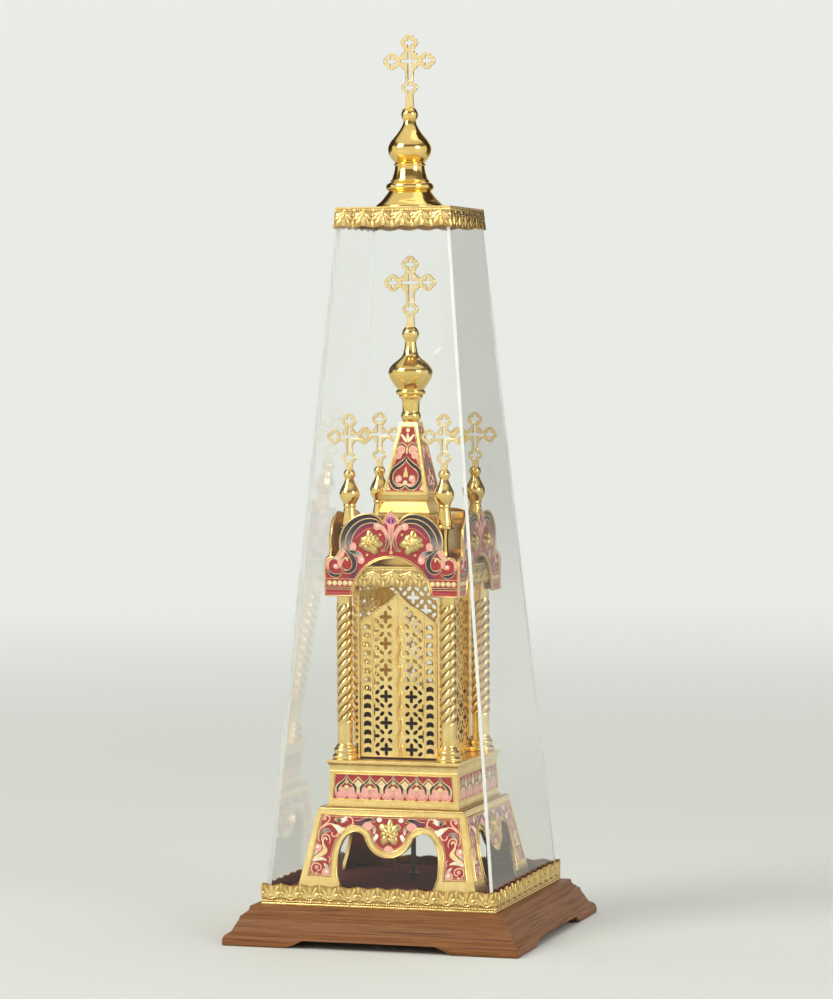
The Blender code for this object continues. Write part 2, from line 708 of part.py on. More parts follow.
def make_columns():
    """Twisted like rope, with a plain foot and head, a turned base, all in one casting."""
    count = 2 * COLUMN_STRANDS
    plain = COLUMN_RADIUS - 0.5
    start, end = COLUMN_TWIST_START, COLUMN_TWIST_START + COLUMN_TWIST_LENGTH
    levels = [
        (0.0, COLUMN_BASE_RADIUS, 0.0),
        (4.4, COLUMN_BASE_RADIUS, 0.0),
        (6.2, 10.4, 0.0),
        (10.4, 10.2, 0.0),
        (COLUMN_BASE_HEIGHT + 1.6, plain, 0.0),
        (start - 1.5, plain, 0.0),
    ]
    turns = round(COLUMN_TWIST_LENGTH / COLUMN_LEAD * 6)
    levels += [(start + (end - start) * i / turns, COLUMN_RADIUS, COLUMN_FLUTE) for i in range(turns + 1)]
    levels += [(end + 1.5, plain, 0.0), (CASKET_HEIGHT, plain, 0.0)]
    corners = {"front_left": (-1, -1), "front_right": (1, -1), "back_right": (1, 1), "back_left": (-1, 1)}
    for where, (sx, sy) in corners.items():
        rings = []
        for z, radius, flute in levels:
            twist = 2 * math.pi * (min(max(z, start), end) - start) / COLUMN_LEAD
            ring = []
            for i in range(count):
                angle = twist + 2 * math.pi * i / count
                r = radius - flute * (i % 2)
                x = sx * COLUMN_FROM_AXIS + r * math.cos(angle)
                y = sy * COLUMN_FROM_AXIS + r * math.sin(angle)
                ring.append((x, y, CASKET_Z + z))
            rings.append(ring)
        rings_object(f"column_{where}", rings, GILT, math.radians(50))


def piercings(low_u, high_u, top_at, start, r, rise, shift):
    """Rows of diamond piercings, each row shifted by half a pitch, wherever one fits with an edge."""
    edge = 2.0
    holes = []
    for row in range(int(CASKET_HEIGHT / rise) + 1):
        v = CASKET_Z + start + row * rise
        for column in range(-4, 5):
            u = shift * (row + 1) + column * LATTICE_PITCH
            fits = low_u + r + edge < u < high_u - r - edge
            if fits and v + r + edge < top_at(u):
                holes.append([(u + r, v), (u, v + r), (u - r, v), (u, v - r)])
    return holes


def wall_edge(u):
    """A wall's upright edge from its foot to its head, cut back round the columns' bases."""
    low, high = CASKET_Z, CASKET_Z + CASKET_HEIGHT
    away = COLUMN_FROM_AXIS - CASKET_HALF
    clear = COLUMN_FROM_AXIS - math.sqrt((COLUMN_BASE_RADIUS + GAP) ** 2 - away**2)
    step = low + COLUMN_BASE_HEIGHT + 2.0
    foot = math.copysign(clear, u)
    return [(foot, low), (foot, step), (u, step), (u, high)]


def make_walls():
    """Pierced plates on three sides, and a narrow jamb beside each door."""
    low, high = CASKET_Z, CASKET_Z + CASKET_HEIGHT
    inner = CASKET_HALF - WALL_THICK
    for side, half in ((1, inner - GAP), (2, CASKET_HALF), (3, inner - GAP)):
        outline = wall_edge(half) + wall_edge(-half)[::-1]
        sizes = (WALL_PIERCING_START, WALL_PIERCING, LATTICE_PITCH, 0.0)
        holes = piercings(-half, half, lambda u: high, *sizes)
        plate(f"casket_wall_{SIDES[side]}", [outline, *holes], upright(side, inner), 0, WALL_THICK, GILT)
    jamb = CASKET_HALF - JAMB_WIDTH
    for where, sign in (("left", -1), ("right", 1)):
        outline = wall_edge(sign * CASKET_HALF) + [(sign * jamb, high), (sign * jamb, low)]
        plate(f"jamb_{where}", [outline], upright(0, inner), 0, WALL_THICK, GILT)


def door_top(u):
    """Height of a leaf above the casket's floor, at a distance from where the two leaves meet."""
    share = min(max(u / HINGE_FROM_AXIS, 0.0), 1.0)
    rise = DOOR_PEAK - DOOR_SHOULDER
    return CASKET_Z + DOOR_SHOULDER + rise * (1 - share) * (0.86 + 0.14 * math.cos(3 * math.pi * share))


def make_doors():
    """Two pierced leaves with an ogee top, a stile on each hinge, and a cover strip on the right leaf."""
    low = CASKET_Z + DOOR_LIFT
    strip_top = CASKET_Z + ASTRAGAL_HEIGHT
    hinge_y = CASKET_HALF - WALL_THICK / 2
    for where, sign in (("left", -1), ("right", 1)):
        seam = sign * GAP / 2
        head = [(sign * u, door_top(u)) for u in (0.0, 2.5, 6.0, 11.0, 17.0, 24.0, 31.0, HINGE_FROM_AXIS)]
        head[0] = (seam, head[0][1])
        outline = [(seam, low), *head, (sign * HINGE_FROM_AXIS, low)]
        edges = sorted((seam + sign, sign * HINGE_FROM_AXIS))
        sizes = (DOOR_PIERCING_START, DOOR_PIERCING, LATTICE_PITCH / 2, LATTICE_PITCH / 2)
        holes = piercings(*edges, lambda u: door_top(abs(u)) - DOOR_PIERCING, *sizes)
        place = upright(0, CASKET_HALF - WALL_THICK)
        leaf = plate(f"door_{where}", [outline, *holes], place, 0, WALL_THICK, GILT)
        stile_height = DOOR_SHOULDER - DOOR_LIFT - 1.0
        centre = (sign * HINGE_FROM_AXIS, -hinge_y, low + 0.5)
        profile = [(HINGE_RADIUS, 0.0), (HINGE_RADIUS, stile_height)]
        stile = turned(f"stile_tool_{where}", profile, 8, centre, GILT)
        combine(leaf, stile, "UNION")
        if sign > 0:
            strip = [(seam, low), (seam, strip_top), (ASTRAGAL_WIDTH, strip_top), (ASTRAGAL_WIDTH, low)]
            cover = plate("astragal_tool", [strip], place, 0.4, WALL_THICK + ASTRAGAL_PROUD, GILT)
            combine(leaf, cover, "UNION")


def make_lining():
    """Velvet on the casket's floor and on the lower part of its three closed sides."""
    outer = CASKET_HALF - WALL_THICK - LINING_PLAY
    inner = outer - LINING_THICK
    low, high = CASKET_Z, CASKET_Z + LINING_HEIGHT
    front = -outer + 1.0
    lining = box("velvet_lining", (-outer, front, low), (outer, outer, high), VELVET)
    room = box("lining_room_tool", (-inner, front - 5, low + LINING_THICK), (inner, inner, high + 5), VELVET)
    combine(lining, room, "DIFFERENCE")


def make_entablature():
    """The plate on the columns, with the stamped strip hanging round it."""
    half = FRIEZE_HALF - STRIP_THICK - GAP
    box("entablature_plate", (-half, -half, PLATE_Z), (half, half, PLATE_TOP), GILT)
    strip_ring("frieze", lambda z: FRIEZE_HALF, PLATE_TOP, PLATE_TOP - STRIP_HEIGHT, GILT)


def kokoshnik_outline(half):
    """A gable of two curling leaves and a bud over a round arch, heights from its foot."""
    arch_angle = math.degrees(math.asin(-KOKOSHNIK_ARCH_CENTRE / KOKOSHNIK_ARCH_RADIUS))
    arch = arc((0, KOKOSHNIK_ARCH_CENTRE), [KOKOSHNIK_ARCH_RADIUS] * 2, 90, arch_angle, 5)
    volute = arc((half - VOLUTE_RADIUS, VOLUTE_HEIGHT), [VOLUTE_RADIUS] * 2, 0, 110, 3)
    leaf_centre = (LEAF_FROM_MIDDLE, LEAF_CENTRE)
    leaf_height = LEAF_TOP - LEAF_CENTRE
    outer = arc(leaf_centre, (LEAF_OUTER, leaf_height), -15, 90, 5)
    notch = math.degrees(math.acos((LEAF_FROM_MIDDLE - KOKOSHNIK_BUD_HALF) / LEAF_INNER))
    inner = arc(leaf_centre, (LEAF_INNER, leaf_height), 90, 180 - notch, 2)
    bud_side = [(0.62 * KOKOSHNIK_BUD_HALF, 0.5 * (inner[-1][1] + KOKOSHNIK_PEAK) + 1.6), (0, KOKOSHNIK_PEAK)]
    right = [(half, 0.0), *volute, *outer, *inner[1:], *bud_side]
    left = [(-x, y) for x, y in reversed(right[:-1])]
    arch_back = [(-x, y) for x, y in reversed(arch)] + arch[1:]
    return right + left + arch_back


def make_kokoshniks():
    """Four enamelled gable plates round the entablature; the side ones fit between the front and the back."""
    for side, where in enumerate(SIDES):
        half = KOKOSHNIK_HALF if side % 2 == 0 else FRIEZE_HALF
        outline = [(x, y + KOKOSHNIK_Z) for x, y in kokoshnik_outline(half)]
        place = upright(side, FRIEZE_HALF + GAP)
        gable = plate(f"kokoshnik_{where}", [outline], place, 0, KOKOSHNIK_THICK, ENAMEL)
        for sign in (-1, 1):
            centre = (sign * CAST_LEAF_FROM_MIDDLE, KOKOSHNIK_Z + CAST_LEAF_HEIGHT)
            leaf = leaf_outline(centre, CAST_LEAF_REACH)
            depths = (KOKOSHNIK_THICK - 0.5, KOKOSHNIK_THICK + ORNAMENT_PROUD)
            cast = plate(f"cast_leaf_tool_{where}_{sign}", [leaf], place, *depths, GILT)
            combine(gable, cast, "UNION")


def make_attic():
    """The plain block behind the gables, with a fine lip round it."""
    low, high = ATTIC_Z, ATTIC_Z + ATTIC_HEIGHT
    lip = high - ATTIC_LIP_DROP
    profile = [
        (ATTIC_HALF, low),
        (ATTIC_HALF, lip - ATTIC_LIP_HEIGHT),
        (ATTIC_HALF + ATTIC_LIP, lip - 0.7 * ATTIC_LIP_HEIGHT),
        (ATTIC_HALF + ATTIC_LIP, lip - 0.3 * ATTIC_LIP_HEIGHT),
        (ATTIC_HALF, lip),
        (ATTIC_HALF, high),
    ]
    square_loft("attic", profile, GILT)


def make_spire():
    """A four-sided spire on a flared skirt and a base moulding, with an enamel plaque in each face."""
    foot = SPIRE_Z
    neck = foot + SPIRE_SKIRT_HEIGHT
    face_foot = neck + 1.4 + SPIRE_BASE_HEIGHT
    top = foot + SPIRE_HEIGHT
    profile = [
        (SPIRE_SKIRT_HALF, foot),
        (SPIRE_SKIRT_HALF - 1.4, foot + 2.4),
        (0.5 * (SPIRE_SKIRT_HALF + SPIRE_NECK_HALF) - 0.7, foot + 0.55 * SPIRE_SKIRT_HEIGHT),
        (SPIRE_NECK_HALF, neck),
        (SPIRE_NECK_HALF, neck + 1.4),
        (SPIRE_BASE_HALF, neck + 1.4),
        (SPIRE_BASE_HALF, face_foot - 1.6),
        (SPIRE_FOOT_HALF, face_foot),
        (SPIRE_TOP_HALF, top),
    ]
    spire = square_loft("spire", profile, GILT)
    for side, where in enumerate(SIDES):
        place = sloping(side, SPIRE_FOOT_HALF, SPIRE_TOP_HALF, face_foot, top)
        low, high = face_foot + SPIRE_FRAME, top - SPIRE_FRAME_TOP
        panel = spire_panel(low, high, face_foot, top, GAP)
        pocket = plate(f"spire_pocket_tool_{where}", [panel], place, -POCKET_DEPTH, 3, GILT)
        combine(spire, pocket, "DIFFERENCE")
        depth = -POCKET_DEPTH + GAP
        outline = spire_panel(low, high, face_foot, top, 0.0)
        plate(f"spire_plaque_{where}", [outline], place, depth, depth + PLAQUE_THICK, ENAMEL)


def spire_panel(low, high, face_foot, top, grow):
    lean = (SPIRE_FOOT_HALF - SPIRE_TOP_HALF) / (top - face_foot)
    low_half = SPIRE_FOOT_HALF - (low - face_foot) * lean - SPIRE_FRAME + grow
    high_half = SPIRE_FOOT_HALF - (high - face_foot) * lean - 1.3 * SPIRE_FRAME + grow
    foot, head = low - grow, high + grow
    return [(-low_half, foot), (low_half, foot), (high_half, head), (-high_half, head)]


clear_scene()
WOOD = finish("mahogany", (0.27, 0.10, 0.045), 0.42)
VELVET = finish("burgundy_velvet", (0.085, 0.030, 0.026), 0.9)
GILT = finish("gilt_brass", (0.86, 0.60, 0.22), 0.22, metallic=1.0)
ENAMEL = finish("red_enamel", (0.32, 0.025, 0.022), 0.18)
GLASS = finish("glass", (0.96, 0.98, 0.97), 0.03, transmission=1.0)
STEEL = finish("dark_steel", (0.10, 0.085, 0.07), 0.45, metallic=1.0)

make_plinth()
make_velvet_board()
make_gallery()
make_glass()
make_cap()
make_cover_dome()
large_cross("cover_cross", DOME_Z + DOME_HEIGHT + GAP, COVER_CROSS_STEM)
make_arch_stage()
make_band_stage()
make_columns()
make_walls()
make_doors()
make_lining()
make_entablature()
make_kokoshniks()
make_attic()
make_spire()
make_main_finial()
large_cross("main_cross", FINIAL_Z + FINIAL_HEIGHT + GAP, MAIN_CROSS_STEM)
make_pinnacles()
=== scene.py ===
import math

import bmesh
import bpy
import numpy as np
from mathutils import Matrix, Vector
from mathutils.geometry import delaunay_2d_cdt


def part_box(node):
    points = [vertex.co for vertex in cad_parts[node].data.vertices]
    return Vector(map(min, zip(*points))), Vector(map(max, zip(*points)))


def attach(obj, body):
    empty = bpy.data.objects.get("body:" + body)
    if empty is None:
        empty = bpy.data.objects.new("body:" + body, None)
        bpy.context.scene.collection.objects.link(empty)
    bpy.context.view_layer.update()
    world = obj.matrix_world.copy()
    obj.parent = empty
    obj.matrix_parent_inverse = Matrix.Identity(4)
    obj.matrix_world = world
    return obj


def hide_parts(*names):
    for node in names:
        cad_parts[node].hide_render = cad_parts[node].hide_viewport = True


# Altar tabernacle: a gilt brass shrine with red enamel plaques, under a glass cover, on a wooden plinth.
# Lengths are in millimetres until they go into a mesh. The front faces -Y, and the four sides come in
# the order front, right, back, left, each a quarter turn on from the one before.
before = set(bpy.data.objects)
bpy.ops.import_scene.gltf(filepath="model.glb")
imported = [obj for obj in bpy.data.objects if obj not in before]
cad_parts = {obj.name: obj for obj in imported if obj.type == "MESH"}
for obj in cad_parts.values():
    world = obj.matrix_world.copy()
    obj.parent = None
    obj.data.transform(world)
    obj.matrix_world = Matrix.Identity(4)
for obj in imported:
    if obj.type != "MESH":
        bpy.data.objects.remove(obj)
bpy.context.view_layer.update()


# The room: a bowl of pale paper round the object, a big soft lamp over its front left, a weaker one on
# the right and a dim one overhead. A dark band in the sky and two dark cards give the polished metal
# something to mirror.
def wire(tree, kind, settings=None, inputs=None):
    """Adds a node. Its inputs are constants, or the sockets that feed them."""
    made = tree.nodes.new(kind)
    for key, value in (settings or {}).items():
        setattr(made, key, value)
    for key, value in (inputs or {}).items():
        if isinstance(value, bpy.types.NodeSocket):
            tree.links.new(value, made.inputs[key])
        else:
            made.inputs[key].default_value = value
    return made


def ramp(tree, factor, stops):
    """A colour that runs through (position, colour) stops as the factor goes from 0 to 1."""
    made = wire(tree, "ShaderNodeValToRGB", inputs={"Fac": factor})
    band = made.color_ramp
    while len(band.elements) < len(stops):
        band.elements.new(0.5)
    for element, (position, colour) in zip(band.elements, stops):
        element.position = position
        element.color = (*colour, 1.0)
    return made.outputs["Color"]


def new_material(name, **values):
    """A Principled material with constant values set on its own sockets."""
    material = bpy.data.materials.new(name)
    material.use_nodes = True
    shader = material.node_tree.nodes["Principled BSDF"]
    for key, value in values.items():
        shader.inputs[key.replace("_", " ").title().replace("Ior", "IOR")].default_value = value
    return material, material.node_tree, shader


def put_mesh(name, points, faces, material, uv=None, corners=None, weld=0.004, sharp=35):
    """A mesh from points in millimetres, with its seams merged and its faces turned outwards.

    uv is one pair for each corner of each face. corners holds named values for each corner.
    """
    mesh = bpy.data.meshes.new(name)
    mesh.from_pydata((np.asarray(points) * 0.001).tolist(), [], np.asarray(faces).tolist())
    if uv is not None:
        layer = mesh.uv_layers.new(name="UVMap")
        layer.data.foreach_set("uv", np.asarray(uv, dtype=np.float32).ravel())
    for key, values in (corners or {}).items():
        kind = "FLOAT_COLOR" if values.ndim == 2 else "FLOAT"
        layer = mesh.attributes.new(key, kind, "CORNER")
        layer.data.foreach_set("color" if values.ndim == 2 else "value", values.astype(np.float32).ravel())
    soft = bmesh.new()
    soft.from_mesh(mesh)
    bmesh.ops.remove_doubles(soft, verts=soft.verts, dist=weld * 0.001)
    bmesh.ops.recalc_face_normals(soft, faces=soft.faces)
    soft.to_mesh(mesh)
    soft.free()
    mesh.shade_smooth()
    mesh.set_sharp_from_angle(angle=math.radians(sharp))
    mesh.materials.append(material)
    piece = bpy.data.objects.new(name, mesh)
    bpy.context.collection.objects.link(piece)
    return piece


def skin(name, grids, material, values=None, uvs=None, **finish):
    """One mesh from grids of points (rows, columns, xyz): each small square of a grid is a face.

    values holds, for each named attribute, one array (rows, columns) a grid. uvs holds one array
    (rows, columns, 2) a grid.
    """
    points, faces, start = [], [], 0
    for grid in grids:
        rows, columns = grid.shape[:2]
        index = start + np.arange(rows * columns).reshape(rows, columns)
        ring = [index[:-1, :-1], index[:-1, 1:], index[1:, 1:], index[1:, :-1]]
        faces.append(np.stack(ring, axis=-1).reshape(-1, 4))
        points.append(grid.reshape(-1, 3))
        start += rows * columns
    faces = np.vstack(faces)
    corners = {key: np.concatenate([v.ravel() for v in kept])[faces.ravel()] for key,
               kept in (values or {}).items()}
    uv = None if uvs is None else np.vstack([pair.reshape(-1, 2) for pair in uvs])[faces.ravel()]
    return put_mesh(name, np.vstack(points), faces, material, uv=uv, corners=corners, **finish)


def settle(piece, body, slot, *nodes):
    """The piece rides on a body and stands for the CAD nodes. The slot is not used."""
    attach(piece, body)
    if nodes:
        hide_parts(*nodes)
    return piece


BODY = "shrine"
PAPER_RADIUS = 6200.0
PAPER_CURVE = 1500.0
PAPER_WALL = 900.0
NEAR, FAR = 0.4, 5.0

angle = np.linspace(0, 0.5 * np.pi, 13)
paper_radius = np.concatenate([[0.0, 600, 2000], PAPER_RADIUS - PAPER_CURVE * (1 - np.sin(angle)),
                               [PAPER_RADIUS]])
paper_height = np.concatenate([[0.0, 0, 0], PAPER_CURVE * (1 - np.cos(angle)), [PAPER_CURVE + PAPER_WALL]])
around = np.linspace(0, 2 * np.pi, 97)
paper_grid = np.stack([
    paper_radius[:, None] * np.cos(around),
    paper_radius[:, None] * np.sin(around),
    paper_height[:, None] + 0 * around,
], axis=-1)
paper, tree, shader = new_material("pale_paper", roughness=0.9, specular_ior_level=0.1)
place = wire(tree, "ShaderNodeTexCoord")
away = wire(tree, "ShaderNodeVectorMath", {"operation": "LENGTH"}, {0: place.outputs["Object"]})
far = wire(tree, "ShaderNodeMapRange", {"interpolation_type": "SMOOTHSTEP"},
           {"Value": away.outputs["Value"], "From Min": NEAR, "From Max": FAR})
tint = ramp(tree, far.outputs["Result"], [(0.0, (0.715, 0.73, 0.69)), (1.0, (0.40, 0.41, 0.39))])
glow = ramp(tree, far.outputs["Result"], [(0.0, (0, 0, 0)), (1.0, (0.51, 0.515, 0.505))])
tree.links.new(tint, shader.inputs["Base Color"])
tree.links.new(glow, shader.inputs["Emission Color"])
shader.inputs["Emission Strength"].default_value = 1.0
skin("paper", [paper_grid], paper, weld=0.01)

world = bpy.data.worlds.new("studio")
bpy.context.scene.world = world
world.use_nodes = True
tree = world.node_tree
heading = wire(tree, "ShaderNodeTexCoord")
height = wire(tree, "ShaderNodeSeparateXYZ", inputs={"Vector": heading.outputs["Generated"]})
sky = ramp(tree, height.outputs["Z"], [
    (0.0, (0.85, 0.85, 0.82)),
    (0.34, (0.75, 0.74, 0.70)),
    (0.42, (0.16, 0.14, 0.11)),
    (0.62, (0.20, 0.18, 0.15)),
    (0.74, (0.75, 0.75, 0.73)),
    (1.0, (0.85, 0.85, 0.83)),
])
tree.links.new(sky, tree.nodes["Background"].inputs["Color"])


def lamp(name, place, aim, size, power, colour):
    """A square soft lamp that looks at a point."""
    data = bpy.data.lights.new(name, "AREA")
    data.size = size
    data.energy = power
    data.color = colour
    light = bpy.data.objects.new(name, data)
    light.location = place
    toward = np.array(place) - np.array(aim)
    flat = math.hypot(toward[0], toward[1])
    light.rotation_euler = (math.atan2(flat, toward[2]), 0, math.atan2(toward[0], -toward[1]))
    bpy.context.collection.objects.link(light)


def dark_card(name, start, end, radius):
    """A curved black card between two bearings, in degrees from the front. Only mirrors see it: it gives
    polished metal its dark edges."""
    height = np.array([[80.0], [3000.0]])
    turn = np.radians(np.linspace(start, end, 15)) + 0 * height
    grid = np.stack([radius * np.sin(turn), -radius * np.cos(turn), height + 0 * turn], axis=-1)
    card = skin(name, [grid], card_paint)
    card.visible_shadow = False


card_paint, tree, shader = new_material("card_paint", roughness=0.9, specular_ior_level=0.1)
place = wire(tree, "ShaderNodeTexCoord")
height = wire(tree, "ShaderNodeSeparateXYZ", inputs={"Vector": place.outputs["Object"]})
tint = ramp(tree, height.outputs["Z"], [(0.40, (0.11, 0.08, 0.05)), (1.0, (0.05, 0.034, 0.02))])
tree.links.new(tint, shader.inputs["Base Color"])
ray = wire(tree, "ShaderNodeLightPath")
mirrored_once = wire(tree, "ShaderNodeMath", {"operation": "GREATER_THAN"},
                     {0: ray.outputs["Glossy Depth"], 1: 0.5})
fade = wire(tree, "ShaderNodeMapRange", {"interpolation_type": "SMOOTHSTEP"},
            {"Value": height.outputs["Z"], "From Min": 0.09, "From Max": 0.50})
strength = wire(tree, "ShaderNodeMath", {"operation": "MULTIPLY"},
                {0: mirrored_once.outputs["Value"], 1: fade.outputs["Result"]})
unseen = wire(tree, "ShaderNodeBsdfTransparent")
choose = wire(tree, "ShaderNodeMixShader", inputs={"Fac": strength.outputs["Value"]})
tree.links.new(unseen.outputs["BSDF"], choose.inputs[1])
tree.links.new(shader.outputs["BSDF"], choose.inputs[2])
tree.links.new(choose.outputs["Shader"], tree.nodes["Material Output"].inputs["Surface"])
dark_card("dark_card_right", 118, 162.7, 1200.0)
dark_card("dark_card_left", 210, 268, 3000.0)

lamp("soft_lamp_left", (-2.0, -2.3, 2.5), (0, 0, 0.4), 1.7, 69, (1.0, 0.98, 0.94))
lamp("soft_lamp_right", (2.6, -1.5, 1.5), (0, 0, 0.4), 1.2, 22, (1.0, 1.0, 1.0))
lamp("soft_lamp_over", (0.4, 0.9, 2.9), (0, 0, 0.3), 2.2, 9, (1.0, 1.0, 0.98))

# The camera stands 3.5 m away, 17.3 degrees to the right of the front and a little above the middle.
# Its focal length is in pixels of a picture 833 wide, and the angles that it looks at are in degrees.
CAMERA_TURN = math.radians(17.28)
CAMERA_DISTANCE = 3.496
CAMERA_HEIGHT = 0.553
FOCAL_LENGTH, PICTURE_WIDTH = 3678, 833
LOOK_ASIDE, LOOK_DOWN, ROLL = 0.072, 2.335, -0.319
camera_data = bpy.data.cameras.new("camera")
camera_data.sensor_fit = "HORIZONTAL"
camera_data.sensor_width = 36
camera_data.lens = FOCAL_LENGTH * 36 / PICTURE_WIDTH
camera_data.clip_end = 40
camera = bpy.data.objects.new("camera", camera_data)
camera.location = (CAMERA_DISTANCE * math.sin(CAMERA_TURN), -CAMERA_DISTANCE * math.cos(CAMERA_TURN),
                   CAMERA_HEIGHT)
camera.rotation_mode = "XYZ"
aim = Matrix.Rotation(CAMERA_TURN - math.radians(LOOK_ASIDE), 4, "Z")
aim = aim @ Matrix.Rotation(math.radians(90 - LOOK_DOWN), 4, "X") @ Matrix.Rotation(math.radians(ROLL), 4, "Z")
camera.rotation_euler = aim.to_euler()
bpy.context.collection.objects.link(camera)
bpy.context.scene.camera = camera
bpy.context.scene.view_settings.view_transform = "Standard"


# The plinth: a mahogany frame of stacked mouldings with bracket feet, mitred at its corners, glued up
# and waxed. The grain runs along each side.
SIDES = ("front", "right", "back", "left")
QUARTERS = [np.array([[c, -s, 0], [s, c, 0], [0, 0, 1.0]]) for c, s in ((1, 0), (0, 1), (-1, 0), (0, -1))]


def smooth_run(points, steps=6):
    """A Catmull-Rom curve through points: each piece is a cubic whose slope at a point is half the
    step between that point's neighbours."""
    p = np.asarray(points, float)
    wide = np.vstack([2 * p[0] - p[1], p, 2 * p[-1] - p[-2]])
    t = np.linspace(0, 1, steps, endpoint=False)[:, None]
    a, b, c, d = (wide[i:len(p) - 1 + i, None] for i in range(4))
    curve = 0.5 * (2 * b + (c - a) * t + (2 * a - 5 * b + 4 * c - d) * t**2 + (3 * b - a - 3 * c + d) * t**3)
    return np.vstack([curve.reshape(-1, p.shape[1]), p[-1:]])


BEYOND = 1.0e6


def moulding(profile, stops=(-BEYOND, BEYOND)):
    """Four grids of a profile of (half width, height) carried round a square: at each height a side is
    the line y = -half, with x held between -half and half, so the corners are mitred. stops are the
    places across a side where its grid has points."""
    half, z = np.asarray(profile, float).T[:, :, None]
    x = np.clip(np.asarray(stops)[None, :], -half, half)
    grid = np.stack([x, -half + 0 * x, z + 0 * x], axis=-1)
    return [grid @ turn.T for turn in QUARTERS]


def along_and_up(grids):
    """The UV of each grid in millimetres: along the side, and the way up its profile."""
    front = grids[0]
    steps = np.linalg.norm(np.diff(front[:, 0], axis=0), axis=1)
    up = np.concatenate([[0.0], np.cumsum(steps)])
    pair = np.stack([front[..., 0], up[:, None] + 0 * front[..., 0]], axis=-1)
    return [pair + (370.0 * side, 55.0 * side) for side in range(4)]


FOOT_CUT = 7.5
CUT_HALF, CUT_SLOPE = 79, 15
foot_stops = np.array([-BEYOND, -CUT_HALF, CUT_SLOPE - CUT_HALF, CUT_HALF - CUT_SLOPE, CUT_HALF, BEYOND])
plinth_profile = np.array([
    (0, 22), (122.4, 22), (123, 21), (123, 0), (141.6, 0), (142.6, 0.5), (143, 1.4), (143, 4.6),
    *smooth_run([(143, 4.6), (142.4, 7.6), (140.4, 10.2), (137.4, 11.9)], 4)[1:],
    (136.6, 12.2), (136.4, 12.9), (135.9, 13.3),
    *smooth_run([(135.6, 13.8), (133.0, 19), (130.6, 23.4), (129.8, 26.4)], 4),
    (129.4, 26.8), (127.2, 27.2), (126.9, 28.4), (126.3, 28.9),
    *smooth_run([(125.9, 29.2), (123.8, 30.8), (122.8, 33), (122.6, 34.6)], 3),
    (122.2, 35.2), (121.6, 35.5), (0, 35.5),
])
plinth_grids = moulding(plinth_profile, foot_stops)
lifted = FOOT_CUT * np.clip((CUT_HALF - np.abs(foot_stops)) / CUT_SLOPE, 0, 1)
for grid in plinth_grids:
    grid[..., 2] = np.maximum(grid[..., 2], lifted)

mahogany, tree, shader = new_material("mahogany", roughness=0.46, specular_ior_level=0.25)
along = wire(tree, "ShaderNodeUVMap", {"uv_map": "UVMap"}).outputs["UV"]
stretched = wire(tree, "ShaderNodeMapping",
                 inputs={"Vector": along, "Scale": (0.012, 0.42, 1)}).outputs["Vector"]
wander = wire(tree, "ShaderNodeTexNoise",
              inputs={"Vector": stretched, "Scale": 1.0, "Detail": 5, "Distortion": 0.6})
pores_map = wire(tree, "ShaderNodeMapping", inputs={"Vector": along, "Scale": (0.05, 2.2, 1)}).outputs["Vector"]
pores = wire(tree, "ShaderNodeTexNoise",
             inputs={"Vector": pores_map, "Scale": 1.0, "Detail": 3, "Roughness": 0.7})
streaks = ramp(tree, wander.outputs["Fac"], [
    (0.30, (0.120, 0.038, 0.010)),
    (0.44, (0.225, 0.084, 0.023)),
    (0.58, (0.300, 0.120, 0.036)),
    (0.74, (0.190, 0.066, 0.018)),
])
pore_shade = ramp(tree, pores.outputs["Fac"], [(0.30, (0.45, 0.45, 0.45)), (0.52, (1, 1, 1))])
wood_colour = wire(tree, "ShaderNodeMix", {"data_type": "RGBA", "blend_type": "MULTIPLY"},
                   {"Factor": 0.75, "A": streaks, "B": pore_shade})
tree.links.new(wood_colour.outputs["Result"], shader.inputs["Base Color"])
dents = wire(tree, "ShaderNodeBump",
             inputs={"Height": pores.outputs["Fac"], "Strength": 0.25, "Distance": 0.0004})
tree.links.new(dents.outputs["Normal"], shader.inputs["Normal"])
plinth = skin("wooden_plinth", plinth_grids, mahogany, uvs=along_and_up(plinth_grids), sharp=40)
settle(plinth, BODY, "wood", "wood_plinth")


# The board: plywood under dark red velvet that is drawn over its edge, laid on the plinth inside the
# glass. The pile is short and leans every way.
velvet_low, velvet_high = (np.array(corner) * 1000 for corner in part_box("velvet_board"))
velvet_half = velvet_high[0]
velvet_profile = np.array([
    (0, velvet_low[2]), (velvet_half - 1, velvet_low[2]), (velvet_half, velvet_low[2] + 1),
    *smooth_run([
        (velvet_half, velvet_high[2] - 2.4), (velvet_half - 0.5, velvet_high[2] - 0.9),
        (velvet_half - 1.6, velvet_high[2] - 0.1), (velvet_half - 3, velvet_high[2]),
    ], 3),
    (0, velvet_high[2]),
])


